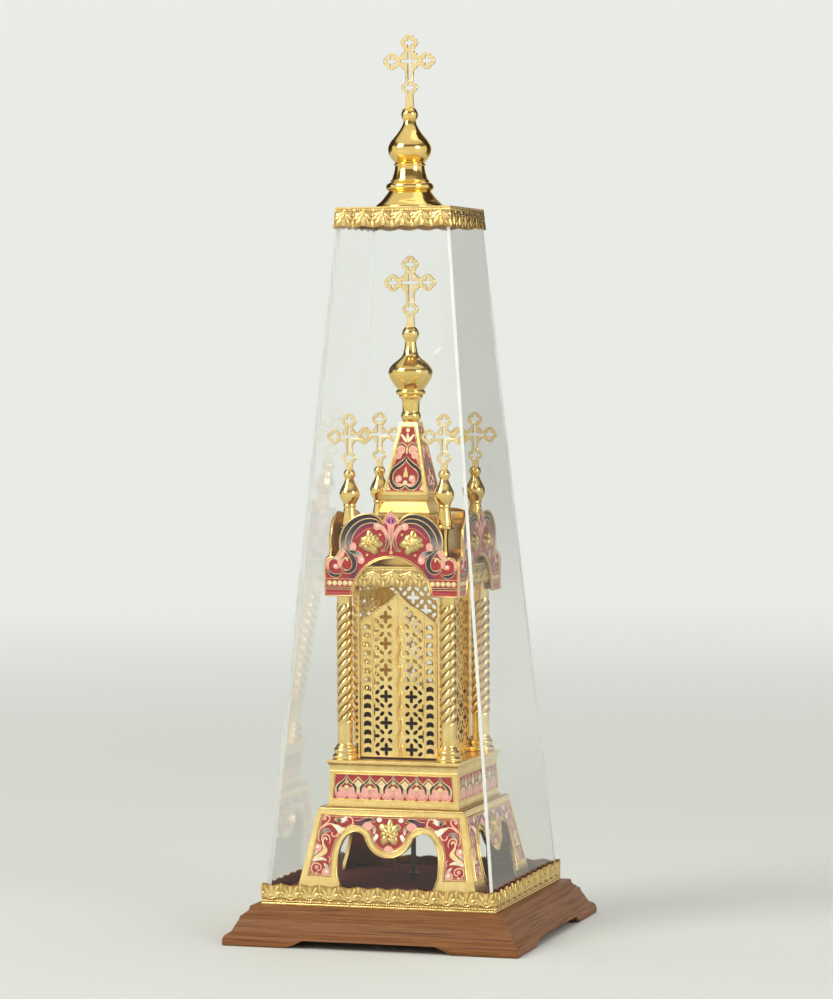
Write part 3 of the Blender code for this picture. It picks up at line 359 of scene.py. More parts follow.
def velvet_cloth(name, colour, deep):
    """Short pile: two shades that drift over the cloth, a fine nap, and sheen at grazing angles."""
    material, tree, shader = new_material(name, roughness=0.95, specular_ior_level=0.1, sheen_weight=0.15,
                                          sheen_roughness=0.45)
    shader.inputs["Sheen Tint"].default_value = (0.55, 0.22, 0.2, 1)
    spot = wire(tree, "ShaderNodeTexCoord").outputs["Object"]
    drift = wire(tree, "ShaderNodeTexNoise", inputs={"Vector": spot, "Scale": 24, "Detail": 3})
    nap = wire(tree, "ShaderNodeTexNoise", inputs={"Vector": spot, "Scale": 1400, "Detail": 2})
    mixed = wire(tree, "ShaderNodeMath", {"operation": "MULTIPLY"},
                 {0: drift.outputs["Fac"], 1: nap.outputs["Fac"]})
    tone = ramp(tree, mixed.outputs["Value"], [(0.12, deep), (0.42, colour)])
    tree.links.new(tone, shader.inputs["Base Color"])
    pile = wire(tree, "ShaderNodeBump",
                inputs={"Height": nap.outputs["Fac"], "Strength": 0.5, "Distance": 0.0006})
    tree.links.new(pile.outputs["Normal"], shader.inputs["Normal"])
    return material


dark_velvet = velvet_cloth("dark_red_velvet", (0.125, 0.017, 0.014), (0.055, 0.010, 0.008))
board = skin("velvet_board_cloth", moulding(velvet_profile), dark_velvet)
settle(board, BODY, "velvet", "velvet_board")


# The gallery: a strip of thin brass stamped with a row of leafy fans between a line of beads and a
# toothed, scalloped edge, gilded, bent round a square and soldered at a corner.
def gilt_effect():
    """Gilding as colour, roughness and normal: the tone drifts from light to deep over some
    millimetres, an input darkens it toward brown as painted shade in hollows and grooves, fine rubbing
    marks vary the roughness, and a low ripple bends the reflections."""
    group = bpy.data.node_groups.new("gilding", "ShaderNodeTree")
    socket = group.interface.new_socket
    for name, kind, value in (
        ("Light", "NodeSocketColor", (0.95, 0.68, 0.27, 1)),
        ("Deep", "NodeSocketColor", (0.80, 0.50, 0.15, 1)),
        ("Painted Shade", "NodeSocketFloat", 0.0),
        ("Roughness", "NodeSocketFloat", 0.18),
        ("Ripple", "NodeSocketFloat", 0.1),
        ("Scale", "NodeSocketFloat", 60.0),
    ):
        socket(name, in_out="INPUT", socket_type=kind).default_value = value
    for name, kind in (("Color", "NodeSocketColor"), ("Roughness", "NodeSocketFloat"),
                       ("Normal", "NodeSocketVector")):
        socket(name, in_out="OUTPUT", socket_type=kind)
    given = wire(group, "NodeGroupInput").outputs
    spot = wire(group, "ShaderNodeTexCoord").outputs["Object"]
    drift = wire(group, "ShaderNodeTexNoise", inputs={"Vector": spot, "Scale": given["Scale"], "Detail": 3})
    rub = wire(group, "ShaderNodeTexNoise",
               inputs={"Vector": spot, "Scale": 900, "Detail": 3, "Roughness": 0.65})
    patch = wire(group, "ShaderNodeMapRange",
                 inputs={"Value": drift.outputs["Fac"], "From Min": 0.38, "From Max": 0.66})
    toned = wire(group, "ShaderNodeMix", {"data_type": "RGBA"},
                 {"Factor": patch.outputs["Result"], "A": given["Light"], "B": given["Deep"]})
    # Painted shade: the colour is multiplied toward dark brown as far as the shade input says.
    dark = wire(group, "ShaderNodeMix", {"data_type": "RGBA", "blend_type": "MULTIPLY"},
                {"Factor": given["Painted Shade"], "A": toned.outputs["Result"], "B": (0.26, 0.13, 0.045, 1)})
    spread = wire(group, "ShaderNodeMapRange",
                  inputs={"Value": rub.outputs["Fac"], "To Min": -0.05, "To Max": 0.08})
    rough = wire(group, "ShaderNodeMath", {"operation": "ADD"},
                 {0: given["Roughness"], 1: spread.outputs["Result"]})
    bump = wire(group, "ShaderNodeBump",
                inputs={"Height": drift.outputs["Fac"], "Strength": given["Ripple"], "Distance": 0.002})
    wire(group, "NodeGroupOutput", inputs={
        "Color": dark.outputs["Result"], "Roughness": rough.outputs["Value"], "Normal": bump.outputs["Normal"]})
    return group


gilding = gilt_effect()


def gilt(name, light, deep, roughness, ripple=0.1, scale=60.0, painted_shade=False):
    """A gilt metal. With its shade flag set it darkens where the piece's own attribute of the same name says
    so: painted shade in hollows and grooves.
    """
    material, tree, shader = new_material(name, metallic=1.0)
    inputs = {"Light": (*light, 1), "Deep": (*deep, 1), "Roughness": roughness, "Ripple": ripple,
              "Scale": scale}
    if painted_shade:
        inputs["Painted Shade"] = wire(tree, "ShaderNodeAttribute", {"attribute_name": "painted_shade"}).outputs["Fac"]
    made = wire(tree, "ShaderNodeGroup", {"node_tree": gilding}, inputs)
    tree.links.new(made.outputs["Color"], shader.inputs["Base Color"])
    tree.links.new(made.outputs["Roughness"], shader.inputs["Roughness"])
    tree.links.new(made.outputs["Normal"], shader.inputs["Normal"])
    return material


def petal(u, w, base, turn, length, half, height):
    """One stamped leaf: along its axis s runs from 0 to 1 and its half width is half sin(pi s^1.5).
    Across it the leaf rounds off as the root of 1 - c squared, less a vein down the middle."""
    a = math.radians(turn)
    s = ((u - base[0]) * math.sin(a) + (w - base[1]) * math.cos(a)) / length
    c = (u - base[0]) * math.cos(a) - (w - base[1]) * math.sin(a)
    width = np.maximum(half * np.sin(np.pi * np.clip(s, 0, 1) ** 1.5), 1e-6)
    across = np.clip(np.abs(c) / width, 0, 1)
    return height * np.sqrt(1 - across**2) * (1 - 0.35 * np.exp(-(c / 0.35) ** 2))


STRIP_HEIGHT = 20.0
STRIP_THICK = 1.4
MOTIF = 19.0
BEAD_PITCH = MOTIF / 8
SCALLOP, TOOTH = 1.7, 1.3
STANDS_OUT = 0.8
# Each leaf of the fan: its foot, its turn from upright, its length, its half width and its height.
FAN = [
    ((0, 5.4), 0, 14.4, 1.9, 1.7), ((0, 5.6), 30, 13.6, 1.7, 1.5), ((0, 5.6), -30, 13.6, 1.7, 1.5),
    ((0, 6.0), 58, 10.8, 1.6, 1.4), ((0, 6.0), -58, 10.8, 1.6, 1.4),
    ((0, 6.6), 84, 8.6, 1.3, 1.2), ((0, 6.6), -84, 8.6, 1.3, 1.2),
    ((9.5, 11.4), 0, 8.4, 1.5, 1.5), ((-9.5, 11.4), 0, 8.4, 1.5, 1.5),
]


def fan_relief(u, w):
    """Height of the stamping: the highest of its leaves, calyx, bosses and beads at each place. u runs
    across one motif of 19 mm and w down from the plain edge. The calyx is a raised bow under the fan."""
    high = 0.35 + np.zeros_like(u + w)
    for base, turn, length, half, height in FAN:
        high = np.maximum(high, petal(u, w, base, turn, length, half, height))
    bow = (w - 5.4 - 0.075 * u**2) / 0.8
    high = np.maximum(high, 1.3 * np.sqrt(np.clip(1 - bow**2, 0, 1)) * (np.abs(u) < 6.5))
    for x, y, r, height in ((0, 8.2, 1.7, 1.8), (9.5, 8.0, 1.3, 1.3), (-9.5, 8.0, 1.3, 1.3)):
        high = np.maximum(high, height * np.sqrt(np.clip(1 - ((u - x)**2 + (w - y)**2) / r**2, 0, 1)))
    bead = (u + MOTIF / 2) % BEAD_PITCH - BEAD_PITCH / 2
    high = np.maximum(high, 1.25 * np.sqrt(np.clip(1 - (bead**2 + (w - 3.1)**2) / 1.0**2, 0, 1)))
    return np.maximum(high, 1.1 * (w < 1.6))


def stamped_strip(name, node, motifs, half_at, plain_z, edge_z, material, columns=36, rows=38):
    """A strip of leafy fans bent round a square. Each side is a grid closed across its rows: the front
    rows stand out by the relief, and the back rows are plain. The edge runs in one scallop a motif,
    as 1 - |cos|, with seven teeth a motif, as |sin|."""
    t = np.linspace(-1, 1, motifs * columns + 1)
    place = (t + 1) / 2 * motifs
    u = ((place % 1.0) - 0.5) * MOTIF
    u[-1] = -u[0]
    down = np.sign(edge_z - plain_z)
    scallops = SCALLOP * (1 - np.abs(np.cos(np.pi * place)))
    reach = STRIP_HEIGHT - scallops - TOOTH * np.abs(np.sin(np.pi * 7 * place))
    w = np.linspace(0, 1, rows)[:, None] * reach
    relief = fan_relief(u + 0 * w, w)
    z = plain_z + down * w
    front_half = half_at(z) - 0.5 + relief * STANDS_OUT
    back = np.array([1.0, 0.55, 0.0])[:, None] * reach
    back_half = half_at(plain_z + down * back) - STRIP_THICK
    half = np.vstack([front_half, back_half, front_half[:1]])
    height = np.vstack([z, plain_z + down * back, z[:1]])
    grid = np.stack([t * half, -half, height], axis=-1)
    # Painted shade: the low places of the stamping darken, and the back rows, the strip's inner face, darken
    # almost fully.
    painted_shade = 0.75 * np.clip(1.15 - relief / STANDS_OUT, 0, 1)
    painted_shade = np.vstack([painted_shade, 0.9 + 0 * back, painted_shade[:1]])
    piece = skin(name, [grid @ turn.T for turn in QUARTERS], material, values={"painted_shade": [painted_shade] * 4},
                 sharp=60)
    return settle(piece, BODY, "gilt_brass", node)


stamped_gilt = gilt("stamped_gilt", (1.0, 0.76, 0.30), (0.90, 0.62, 0.23), 0.24, 0.12, 120, painted_shade=True)
gallery_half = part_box("base_gallery")[1][0] * 1000
gallery_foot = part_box("base_gallery")[0][2] * 1000
stamped_strip("stamped_gallery", "base_gallery", 12, lambda z: gallery_half + 0 * z,
              gallery_foot, gallery_foot + STRIP_HEIGHT, stamped_gilt)


# The arched stage: four splayed plates of gilt brass, mitred and soldered at the corners under a roof
# plate. Each is sawn out below to a double-lobed arch and edged with soldered half-round wire.
def on_side(side, half_at, mitred=False):
    """Gives the function that puts points (across, height) on one side of a square body, where depth
    moves them out: y = -(half at that height + depth). Mitred, no point passes the corner's plane."""
    def to_space(points, depth):
        across, z = np.asarray(points, float).T
        half = half_at(z) + depth
        if mitred:
            across = np.clip(across, -half, half)
        return np.stack([across, -half, z], axis=-1) @ QUARTERS[side].T
    return to_space


def simple_shapes(shape, paint):
    """A four-cornered stretch whose edges cross is split into two triangles, and slivers are left out."""
    shape = np.asarray(shape, float)
    if len(shape) > 4:
        return [(shape, paint)]
    turns = np.cross(np.roll(shape, -1, axis=0) - shape,
                     np.roll(shape, -2, axis=0) - np.roll(shape, -1, axis=0))
    if len(shape) == 4 and not (np.all(turns > 1e-4) or np.all(turns < -1e-4)):
        halves = [shape[[0, 1, 2]], shape[[0, 2, 3]]]
    else:
        halves = [shape]
    return [(half, paint) for half in halves if abs(np.sum(np.cross(half, np.roll(half, -1, axis=0)))) > 2e-3]


def cut_plate(name, loops, low, high, to_space, material, layers=(), bare=None, **finish):
    """A plate sawn from sheet: loops[0] is its edge and the others are holes, in (across, height).

    The face is a constrained triangulation of every loop, laid at two depths and joined by walls. Each
    layer is a polygon and its tone, laid over those before it, and bare is the tone of the rest.
    """
    layers = [piece for layer in layers for piece in simple_shapes(*layer)]
    shapes = [np.asarray(loop, float) for loop in loops] + [np.asarray(shape, float) for shape, _ in layers]
    shapes = [shape if np.sum(np.cross(shape,
                                       np.roll(shape, -1, axis=0))) > 0 else shape[::-1] for shape in shapes]
    counts = np.cumsum([0] + [len(shape) for shape in shapes])
    rings = [list(range(a, b)) for a, b in zip(counts[:-1], counts[1:])]
    flat = np.vstack(shapes)
    found = delaunay_2d_cdt([Vector(point) for point in flat.tolist()], [], rings, 1, 1e-4, True)
    spots, owners = np.array([tuple(v) for v in found[0]]), found[5]
    kept = [i for i, own in enumerate(owners) if 0 in own and not any(0 < k < len(loops) for k in own)]
    faces = np.array([found[2][i] for i in kept])
    top = np.array([max(owners[i]) - len(loops) + 1 for i in kept]).clip(0)
    edges = faces[:, [0, 1, 1, 2, 2, 0]].reshape(-1, 2)
    _, first, uses = np.unique(np.sort(edges, axis=1), axis=0, return_index=True, return_counts=True)
    rim = edges[first[uses == 1]]
    n = len(spots)
    walls = np.vstack([np.column_stack([rim[:, 1], rim[:, 0], rim[:, 0] + n]),
                       np.column_stack([rim[:, 1], rim[:, 0] + n, rim[:, 1] + n])])
    corners = None
    if bare is not None:
        tones = np.array([bare] + [tone for _, tone in layers])
        rest = np.tile(GOLD_LINE, (len(faces) + len(walls), 1))
        tone = np.repeat(np.vstack([tones[top], rest]), 3, axis=0)
        corners = {"tint": np.column_stack([tone[:, :3], np.ones(len(tone))]), "metal": tone[:, 3]}
    points = np.vstack([to_space(spots, high), to_space(spots, low)])
    return put_mesh(name, points, np.vstack([faces, faces[:, ::-1] + n, walls]), material, corners=corners,
                    **finish)


def wire_along(path, to_space, half, proud, closed=False):
    """A grid of half-round wire laid along a path: across the path the section is an ellipse of the
    given half width and height, and it turns with the path's normal."""
    path = np.asarray(path, float)
    if closed:
        path = np.vstack([path, path[:1]])
        slope = np.gradient(np.vstack([path[-2:-1], path, path[1:2]]), axis=0)[1:-1]
    else:
        slope = np.gradient(path, axis=0)
    slope /= np.linalg.norm(slope, axis=1, keepdims=True) + 1e-9
    normal = np.stack([-slope[:, 1], slope[:, 0]], axis=-1)
    bend = np.radians([-40, 0, 30, 60, 90, 120, 150, 180, 220, -40])
    rows = [to_space(path + normal * half * math.cos(a), proud * math.sin(a)) for a in bend]
    return np.stack(rows)


def arc(centre, radii, start, end, count=12):
    """Points on an ellipse from one angle to another, in degrees."""
    turn = np.radians(np.linspace(start, end, count))
    return np.stack([centre[0] + radii[0] * np.cos(turn), centre[1] + radii[1] * np.sin(turn)], axis=-1)


def both_halves(half):
    """A line from the middle outwards, with its mirror image before it and no point twice."""
    half = np.asarray(half, float)
    return np.vstack([half[::-1] * (-1, 1), half[1 if abs(half[0, 0]) < 1e-6 else 0:]])


STAGE_FOOT, STAGE_TOP = 46.8, 123.0
STAGE_FOOT_HALF, STAGE_TOP_HALF = 87.3, 71.2
STAGE_LEAN = (STAGE_FOOT_HALF - STAGE_TOP_HALF) / (STAGE_TOP - STAGE_FOOT)
STAGE_THICK = 2.6


def stage_half(z):
    """Half width of the arched stage, which falls evenly with the height."""
    return STAGE_FOOT_HALF - STAGE_LEAN * (z - STAGE_FOOT)


def stage_arch(margin):
    """Half of the arch's edge: a hanging round of 24.7 mm, a small round that turns it over into the
    lobe, and a quarter ellipse down to the spring. margin moves it away from the opening."""
    pendant = arc((0, 55.9), [24.7 - margin] * 2, -90, -19.55, 14)
    inner = arc((33, 44.18), [10.32 + margin] * 2, 160.45, 90, 9)
    outer = arc((33, 26.5), (16 + margin, 28 + margin), 90, 0, 16)
    return np.vstack([pendant, inner[1:], outer[1:]]) + (0, STAGE_FOOT)


polished_gilt = gilt("polished_gilt", (0.98, 0.73, 0.31), (0.88, 0.60, 0.22), 0.16, 0.10, 45)
sheet_gilt = gilt("sheet_gilt", (0.99, 0.75, 0.31), (0.90, 0.63, 0.22), 0.27, 0.16, 80)
opening = both_halves(np.vstack([stage_arch(0),
                                 [(49, STAGE_FOOT + 15), (45.6, STAGE_FOOT + 5.2), (45.6, STAGE_FOOT)]]))
stage_edge = np.vstack([
    opening[::-1][:1], [(STAGE_FOOT_HALF, STAGE_FOOT), (STAGE_TOP_HALF, STAGE_TOP)],
    [(-STAGE_TOP_HALF, STAGE_TOP), (-STAGE_FOOT_HALF, STAGE_FOOT)], opening[:-1],
])
leg_foot = STAGE_FOOT + 13.2
plaque_low, plaque_high = stage_half(leg_foot) - 6.4, stage_half(STAGE_TOP - 6) - 4.6
plaque_edge = both_halves(np.vstack([
    stage_arch(5.7), [(54.7, leg_foot), (plaque_low, leg_foot), (plaque_high, STAGE_TOP - 6)],
]))
stage_parts = [
    cut_plate("stage_plate", [stage_edge], -STAGE_THICK, 0, on_side(side, stage_half, mitred=True), sheet_gilt)
    for side in range(4)
]
for side in range(4):
    place = on_side(side, stage_half)
    rims = [
        wire_along(both_halves(np.vstack([stage_arch(0.9),
                                          [(49.9, STAGE_FOOT + 15), (46.6, STAGE_FOOT + 5.4)]])), place, 0.9,
                                          1.3),
        wire_along(plaque_edge, place, 0.8, 1.1, closed=True),
        wire_along([(-STAGE_TOP_HALF + 0.4, STAGE_TOP - 0.9), (STAGE_TOP_HALF - 0.4, STAGE_TOP - 0.9)], place,
                   0.9, 0.8),
    ]
    stage_parts.append(skin("stage_rims", rims, polished_gilt))
roof = moulding([(0, 119.8), (69.2, 119.8), (70.6, 122.2), (70.9, 123.0), (0, 123.0)])
stage_parts.append(skin("stage_roof", roof, sheet_gilt))


def as_one(name, parts):
    """Joins objects made by the functions above into the first of them."""
    whole = bmesh.new()
    mesh = parts[0].data
    kinds = []
    for part in parts:
        for kind in part.data.materials:
            if kind not in kinds:
                kinds.append(kind)
    for part in parts:
        slots = [kinds.index(kind) for kind in part.data.materials]
        index = np.zeros(len(part.data.polygons), dtype=np.int32)
        part.data.polygons.foreach_get("material_index", index)
        part.data.polygons.foreach_set("material_index", np.array(slots)[index])
        whole.from_mesh(part.data)
    whole.to_mesh(mesh)
    whole.free()
    for kind in kinds[len(mesh.materials):]:
        mesh.materials.append(kind)
    for part in parts[1:]:
        bpy.data.objects.remove(part, do_unlink=True)
    parts[0].name = mesh.name = name
    return parts[0]


settle(as_one("arched_stage", stage_parts), BODY, "gilt_brass", "arch_stage")


# The plaques of the arched stage: champleve enamel, a red field with scrolls, leaves and flowers in
# pink, white, grey and black between gold lines, and a cast gilt palmette riveted over the middle.
def tone(red, green, blue, metal=0.0):
    """A tone from its red, green and blue as seen, 0 to 255, made linear, with its share of metal."""
    seen = np.array([red, green, blue]) / 255
    linear = np.where(seen <= 0.04045, seen / 12.92, ((seen + 0.055) / 1.055) ** 2.4)
    return np.array([*linear, metal])


GOLD_LINE = np.array([0.98, 0.74, 0.36, 1.0])
RED = tone(160, 30, 36)
PINK = tone(240, 168, 158)
BLUSH = tone(214, 110, 104)
CREAM = tone(246, 226, 178)
WHITE = tone(244, 238, 226)
GREY = tone(150, 142, 140)
BLACK = tone(38, 26, 34)
PLUM = tone(96, 38, 72)


def disc(x, y, r, paint, r2=None, turn=0, count=18):
    """A round or oval spot."""
    ring = arc((0, 0), (r, r2 or r), 0, 360, count + 1)[:-1]
    c, s = math.cos(math.radians(turn)), math.sin(math.radians(turn))
    return [(ring @ np.array([[c, s], [-s, c]]) + (x, y), paint)]


def ringed(x, y, r, paint, r2=None, turn=0, rim=0.5, line=GOLD_LINE):
    """A spot with a rim of gold, or of another tone."""
    return disc(x, y, r, line, r2, turn) + disc(x, y, r - rim, paint, r2 and r2 - rim, turn)


def stroke(points, widths, *paints, steps=5):
    """A painted line along a smooth curve. Its edges lie half a width to each side, and its width and
    tone run evenly through the given ones from one end to the other."""
    path = smooth_run(points, steps)
    t = np.linspace(0, 1, len(path))
    slope = np.gradient(path, axis=0)
    slope /= np.linalg.norm(slope, axis=1, keepdims=True)
    normal = np.stack([-slope[:, 1], slope[:, 0]], axis=-1)
    half = 0.5 * np.interp(t, np.linspace(0, 1, len(widths)), widths)[:, None]
    left, right = path + normal * half, path - normal * half
    middle = 0.5 * (t[1:] + t[:-1])
    stops = np.linspace(0, 1, len(paints))
    shades = np.stack([np.interp(middle, stops, [paint[k] for paint in paints]) for k in range(4)], axis=-1)
    quads = np.stack([left[:-1], right[:-1], right[1:], left[1:]], axis=1)
    return list(zip(quads, shades))


def lined(points, widths, *paints, line=0.5, steps=5):
    """A painted line with a gold edge."""
    edge = stroke(points, [w + 2 * line for w in widths], GOLD_LINE, steps=steps)
    return edge + stroke(points, widths, *paints, steps=steps)


def scroll(x, y, inner, outer, turns, widths, *paints):
    """A spiral about a point: the radius grows evenly from inner to outer while it turns."""
    sweep = np.radians(np.linspace(0, 360 * turns, max(5, int(turns * 9))))
    radius = np.linspace(inner, outer, len(sweep))
    points = np.stack([x + radius * np.cos(sweep), y + radius * np.sin(sweep)], axis=-1)
    return stroke(points, widths, *paints, steps=3)


def framed(edge, inset, width, paint):
    """A line that follows a closed edge at a distance inside it."""
    edge = np.asarray(edge, float)
    edge = edge if np.sum(np.cross(edge, np.roll(edge, -1, axis=0))) > 0 else edge[::-1]
    ahead = np.roll(edge, -1, axis=0) - edge
    ahead /= np.linalg.norm(ahead, axis=1, keepdims=True)
    normal = np.stack([-ahead[:, 1], ahead[:, 0]], axis=-1)
    before = np.roll(normal, 1, axis=0)
    mitre = (normal + before) / (1 + np.sum(normal * before, axis=1, keepdims=True)).clip(0.3)
    outer, inner = edge + mitre * inset, edge + mitre * (inset + width)
    quads = np.stack([outer, np.roll(outer, -1, axis=0), np.roll(inner, -1, axis=0), inner], axis=1)
    return [(quad, paint) for quad in quads]


def mirrored(layers):
    """Each shape and its mirror image."""
    return [pair for shape, paint in layers for pair in ((shape, paint), (shape * (-1, 1), paint))]


def cast_relief(name, outline, peak, to_space, material, count=96, rings=14):
    """A cast ornament as a domed grid in polar form. outline gives the centre, the radius at each angle
    and how far that angle is up a lobe. The height falls outwards as 1 - s^2.6 where s is the share of
    the radius, with a boss in the middle, a groove round it and hollows between the lobes."""
    turn = np.linspace(0, 2 * np.pi, count + 1)
    s = np.linspace(0, 1, rings)[::-1, None]
    centre, reach, wave = outline(turn)
    points = np.stack([centre[0] + s * reach * np.sin(turn), centre[1] + s * reach * np.cos(turn)], axis=-1)
    height = peak * (1 - s**2.6) * (0.82 + 0.18 * wave**0.7) + 0.30 * peak * np.exp(-((s - 0.15) / 0.12)**2)
    height = height - 0.35 * peak * np.exp(-((s - 0.45) / 0.10)**2) * (1 - 0.6 * wave)
    rows = [to_space(row, h) for row, h in zip(points, height)]
    back = to_space(points[0], -0.3 + 0 * height[0])
    # Painted shade: the low parts of the casting darken, less so up the lobes.
    painted_shade = np.clip(1.0 - height / peak, 0, 1) * (0.85 - 0.35 * wave)
    return skin(name, [np.stack([back, *rows])], material, values={"painted_shade": [np.vstack([painted_shade[:1], painted_shade])]},
                sharp=70)


def enamel_finish():
    """Glass fused into cut brass: the tone is the piece's own, a little uneven, glossy with a clear
    coat where it is enamel and polished metal where it is a gold line."""
    material, tree, shader = new_material("fired_enamel", coat_roughness=0.06, specular_ior_level=0.35)
    tint = wire(tree, "ShaderNodeAttribute", {"attribute_name": "tint"}).outputs["Color"]
    metal = wire(tree, "ShaderNodeAttribute", {"attribute_name": "metal"}).outputs["Fac"]
    spot = wire(tree, "ShaderNodeTexCoord").outputs["Object"]
    cloud = wire(tree, "ShaderNodeTexNoise", inputs={"Vector": spot, "Scale": 260, "Detail": 4})
    uneven = ramp(tree, cloud.outputs["Fac"], [(0.3, (0.80, 0.78, 0.78)), (0.6, (1, 1, 1))])
    mixed = wire(tree, "ShaderNodeMix", {"data_type": "RGBA", "blend_type": "MULTIPLY"},
                 {"Factor": 0.8, "A": tint, "B": uneven})
    rough = wire(tree, "ShaderNodeMapRange", inputs={"Value": metal, "To Min": 0.22, "To Max": 0.24})
    glaze = wire(tree, "ShaderNodeMapRange", inputs={"Value": metal, "To Min": 0.3, "To Max": 0.0})
    wave = wire(tree, "ShaderNodeBump",
                inputs={"Height": cloud.outputs["Fac"], "Strength": 0.12, "Distance": 0.001})
    tree.links.new(mixed.outputs["Result"], shader.inputs["Base Color"])
    tree.links.new(metal, shader.inputs["Metallic"])
    tree.links.new(rough.outputs["Result"], shader.inputs["Roughness"])
    tree.links.new(glaze.outputs["Result"], shader.inputs["Coat Weight"])
    tree.links.new(wave.outputs["Normal"], shader.inputs["Normal"])
    return material


enamel = enamel_finish()
ENAMEL_BACK, ENAMEL_FACE = -0.8, 0.12
cast_gilt = gilt("cast_gilt", (1.0, 0.76, 0.31), (0.90, 0.62, 0.23), 0.24, 0.14, 90, painted_shade=True)
ROSE = tone(242, 192, 152)
stage_painting = framed(plaque_edge, 0.5, 0.5, GOLD_LINE) + framed(plaque_edge, 1.8, 0.4, GOLD_LINE) + mirrored(
    # the leg, from the top scroll down to the two flowers at its foot
    stroke([(64.8, 114.0), (63.4, 115.8), (60.9, 115.3), (59.3, 112.6), (61.6, 109.2), (65.6, 106.1),
            (68.4, 102.7), (69.2, 98.9), (69.3, 94.2), (67.7, 90.8)],
           [1.3, 1.2, 1.2, 1.3, 1.3, 1.3, 1.2, 1.1, 1.0, 0.6], ROSE)
    + disc(64.4, 112.9, 1.9, PINK)
    + lined([(67.0, 97.2), (64.7, 100.6), (61.2, 102.0), (57.8, 101.2)], [0.6, 3.0, 2.8, 0.4], BLACK, GREY,
            BLACK, line=0.4)
    + stroke([(66.2, 103.4), (62.8, 106.8), (58.6, 108.1), (54.3, 107.1), (51.0, 103.7), (50.1, 100.3),
              (51.9, 97.2), (54.6, 96.6), (56.6, 98.3), (56.2, 100.3)],
             [0.8, 1.2, 1.3, 1.3, 1.3, 1.3, 1.2, 1.1, 1.0, 1.4], ROSE)
    + stroke([(66.3, 92.1), (65.9, 96.0), (62.8, 98.3), (59.5, 96.9), (57.9, 93.5), (58.4, 89.4)],
             [0.7, 1.2, 1.3, 1.2, 1.1, 0.5], ROSE)
    + stroke([(61.1, 93.2), (62.3, 95.2), (64.4, 94.2), (64.8, 90.8), (63.6, 86.7)], [1.8, 1.2, 1.2, 1.3, 2.4],
             CREAM)
    + lined([(74.0, 74.6), (70.5, 77.4), (66.0, 80.0), (62.4, 83.4), (63.4, 88.4)], [0.8, 2.0, 3.4, 4.6, 0.8],
            CREAM, tone(240, 204, 128), line=0.4)
    + lined([(73.4, 79.0), (71.4, 81.0), (69.4, 83.2)], [0.8, 2.2, 1.6], GREY, WHITE, line=0.3)
    + ringed(69.2, 85.9, 3.6, PINK) + disc(69.8, 86.6, 1.3, WHITE)
    + lined([(73.6, 73.2), (69.4, 75.4), (64.4, 75.9), (60.2, 74.4)], [0.6, 2.6, 2.6, 0.4], WHITE, CREAM,
            line=0.35)
    + stroke([(71.8, 61.8), (74.2, 64.9), (74.4, 69.0), (72.0, 71.4), (67.7, 71.1), (65.3, 68.7), (66.0, 65.6),
              (68.8, 64.6)],
             [0.8, 1.2, 1.3, 1.3, 1.2, 1.1, 1.0, 1.4], ROSE)
    + disc(69.6, 67.9, 1.9, PINK) + disc(69.6, 62.4, 1.2, ROSE)
    + lined([(62.6, 71.8), (60.0, 69.0), (58.0, 66.4)], [0.5, 2.6, 1.8], WHITE, GREY, line=0.3)
    + ringed(60.3, 63.6, 4.0, PINK) + disc(59.6, 64.4, 1.4, WHITE)
    + stroke([(58.6, 78.6), (56.7, 75.4), (58.2, 72.6)], [0.4, 1.2, 0.5], ROSE)
    # the haunch: two pale leaves on a dark one
    + lined([(56.8, 107.6), (52.0, 105.4), (47.6, 102.6), (44.2, 104.8)], [0.6, 3.6, 6.0, 0.8], CREAM, WHITE,
            CREAM, line=0.35)
    + lined([(54.6, 112.6), (50.2, 111.8), (46.0, 112.0), (42.9, 115.6)], [1.6, 3.4, 4.2, 0.5],
            tone(222, 190, 112), BLACK, WHITE, WHITE, line=0.35)
    + disc(53.4, 109.4, 1.3, BLACK) + disc(49.6, 110.6, 1.2, BLACK)
    # the crown: a scroll, a leaf with a round head, and white leaves round the casting
    + stroke([(47.4, 100.6), (41.6, 103.6), (37.2, 107.6), (36.6, 112.0), (39.6, 115.2), (43.0, 113.8),
              (42.2, 111.2)], [0.5, 1.1, 1.3, 1.3, 1.3, 1.2, 1.7], ROSE)
    + lined([(14.6, 111.0), (19.4, 113.2), (24.6, 111.8), (29.4, 109.4), (34.4, 109.6)],
            [0.5, 2.6, 4.4, 5.4, 4.0], BLACK, BLACK, PLUM, tone(120, 34, 52), line=0.5)
    + ringed(21.4, 107.2, 4.7, PINK, 3.9, line=ROSE)
    + lined([(16.4, 108.2), (14.8, 104.2), (15.2, 100.0)], [0.5, 2.6, 0.5], BLACK, WHITE, line=0.4)
    + lined([(11.6, 99.8), (13.6, 96.0), (15.8, 91.4)], [2.8, 3.2, 0.4], WHITE, WHITE, BLACK, line=0.4)
    + stroke([(16.8, 89.8), (11.4, 86.6), (6.0, 85.2)], [0.4, 1.2, 0.8], ROSE)
    + disc(10.6, 113.2, 2.6, WHITE, 2.2)
) + ringed(0, 85.6, 4.5, PINK, 4.1, rim=0.6, line=ROSE)


def lobed(centre, base, lobes, sign=1):
    """Edge of a cast leaf from its lobes: bearing, length and half width in degrees. At each angle the
    reach is that of the longest lobe there, which falls off from its own length to the base as the
    1.9th power of the angle over the lobe's half width."""
    def outline(turn):
        bearing = np.degrees(turn * sign)
        reach, wave = base + 0 * turn, 0 * turn
        for middle, length, spread in lobes:
            off = np.abs((bearing - middle + 180) % 360 - 180) / spread
            lobe = np.clip(1 - np.minimum(off, 1)**1.9, 0, 1)
            reach = np.maximum(reach, base + (length - base) * lobe)
            wave = np.maximum(wave, lobe)
        return centre, reach, wave
    return outline


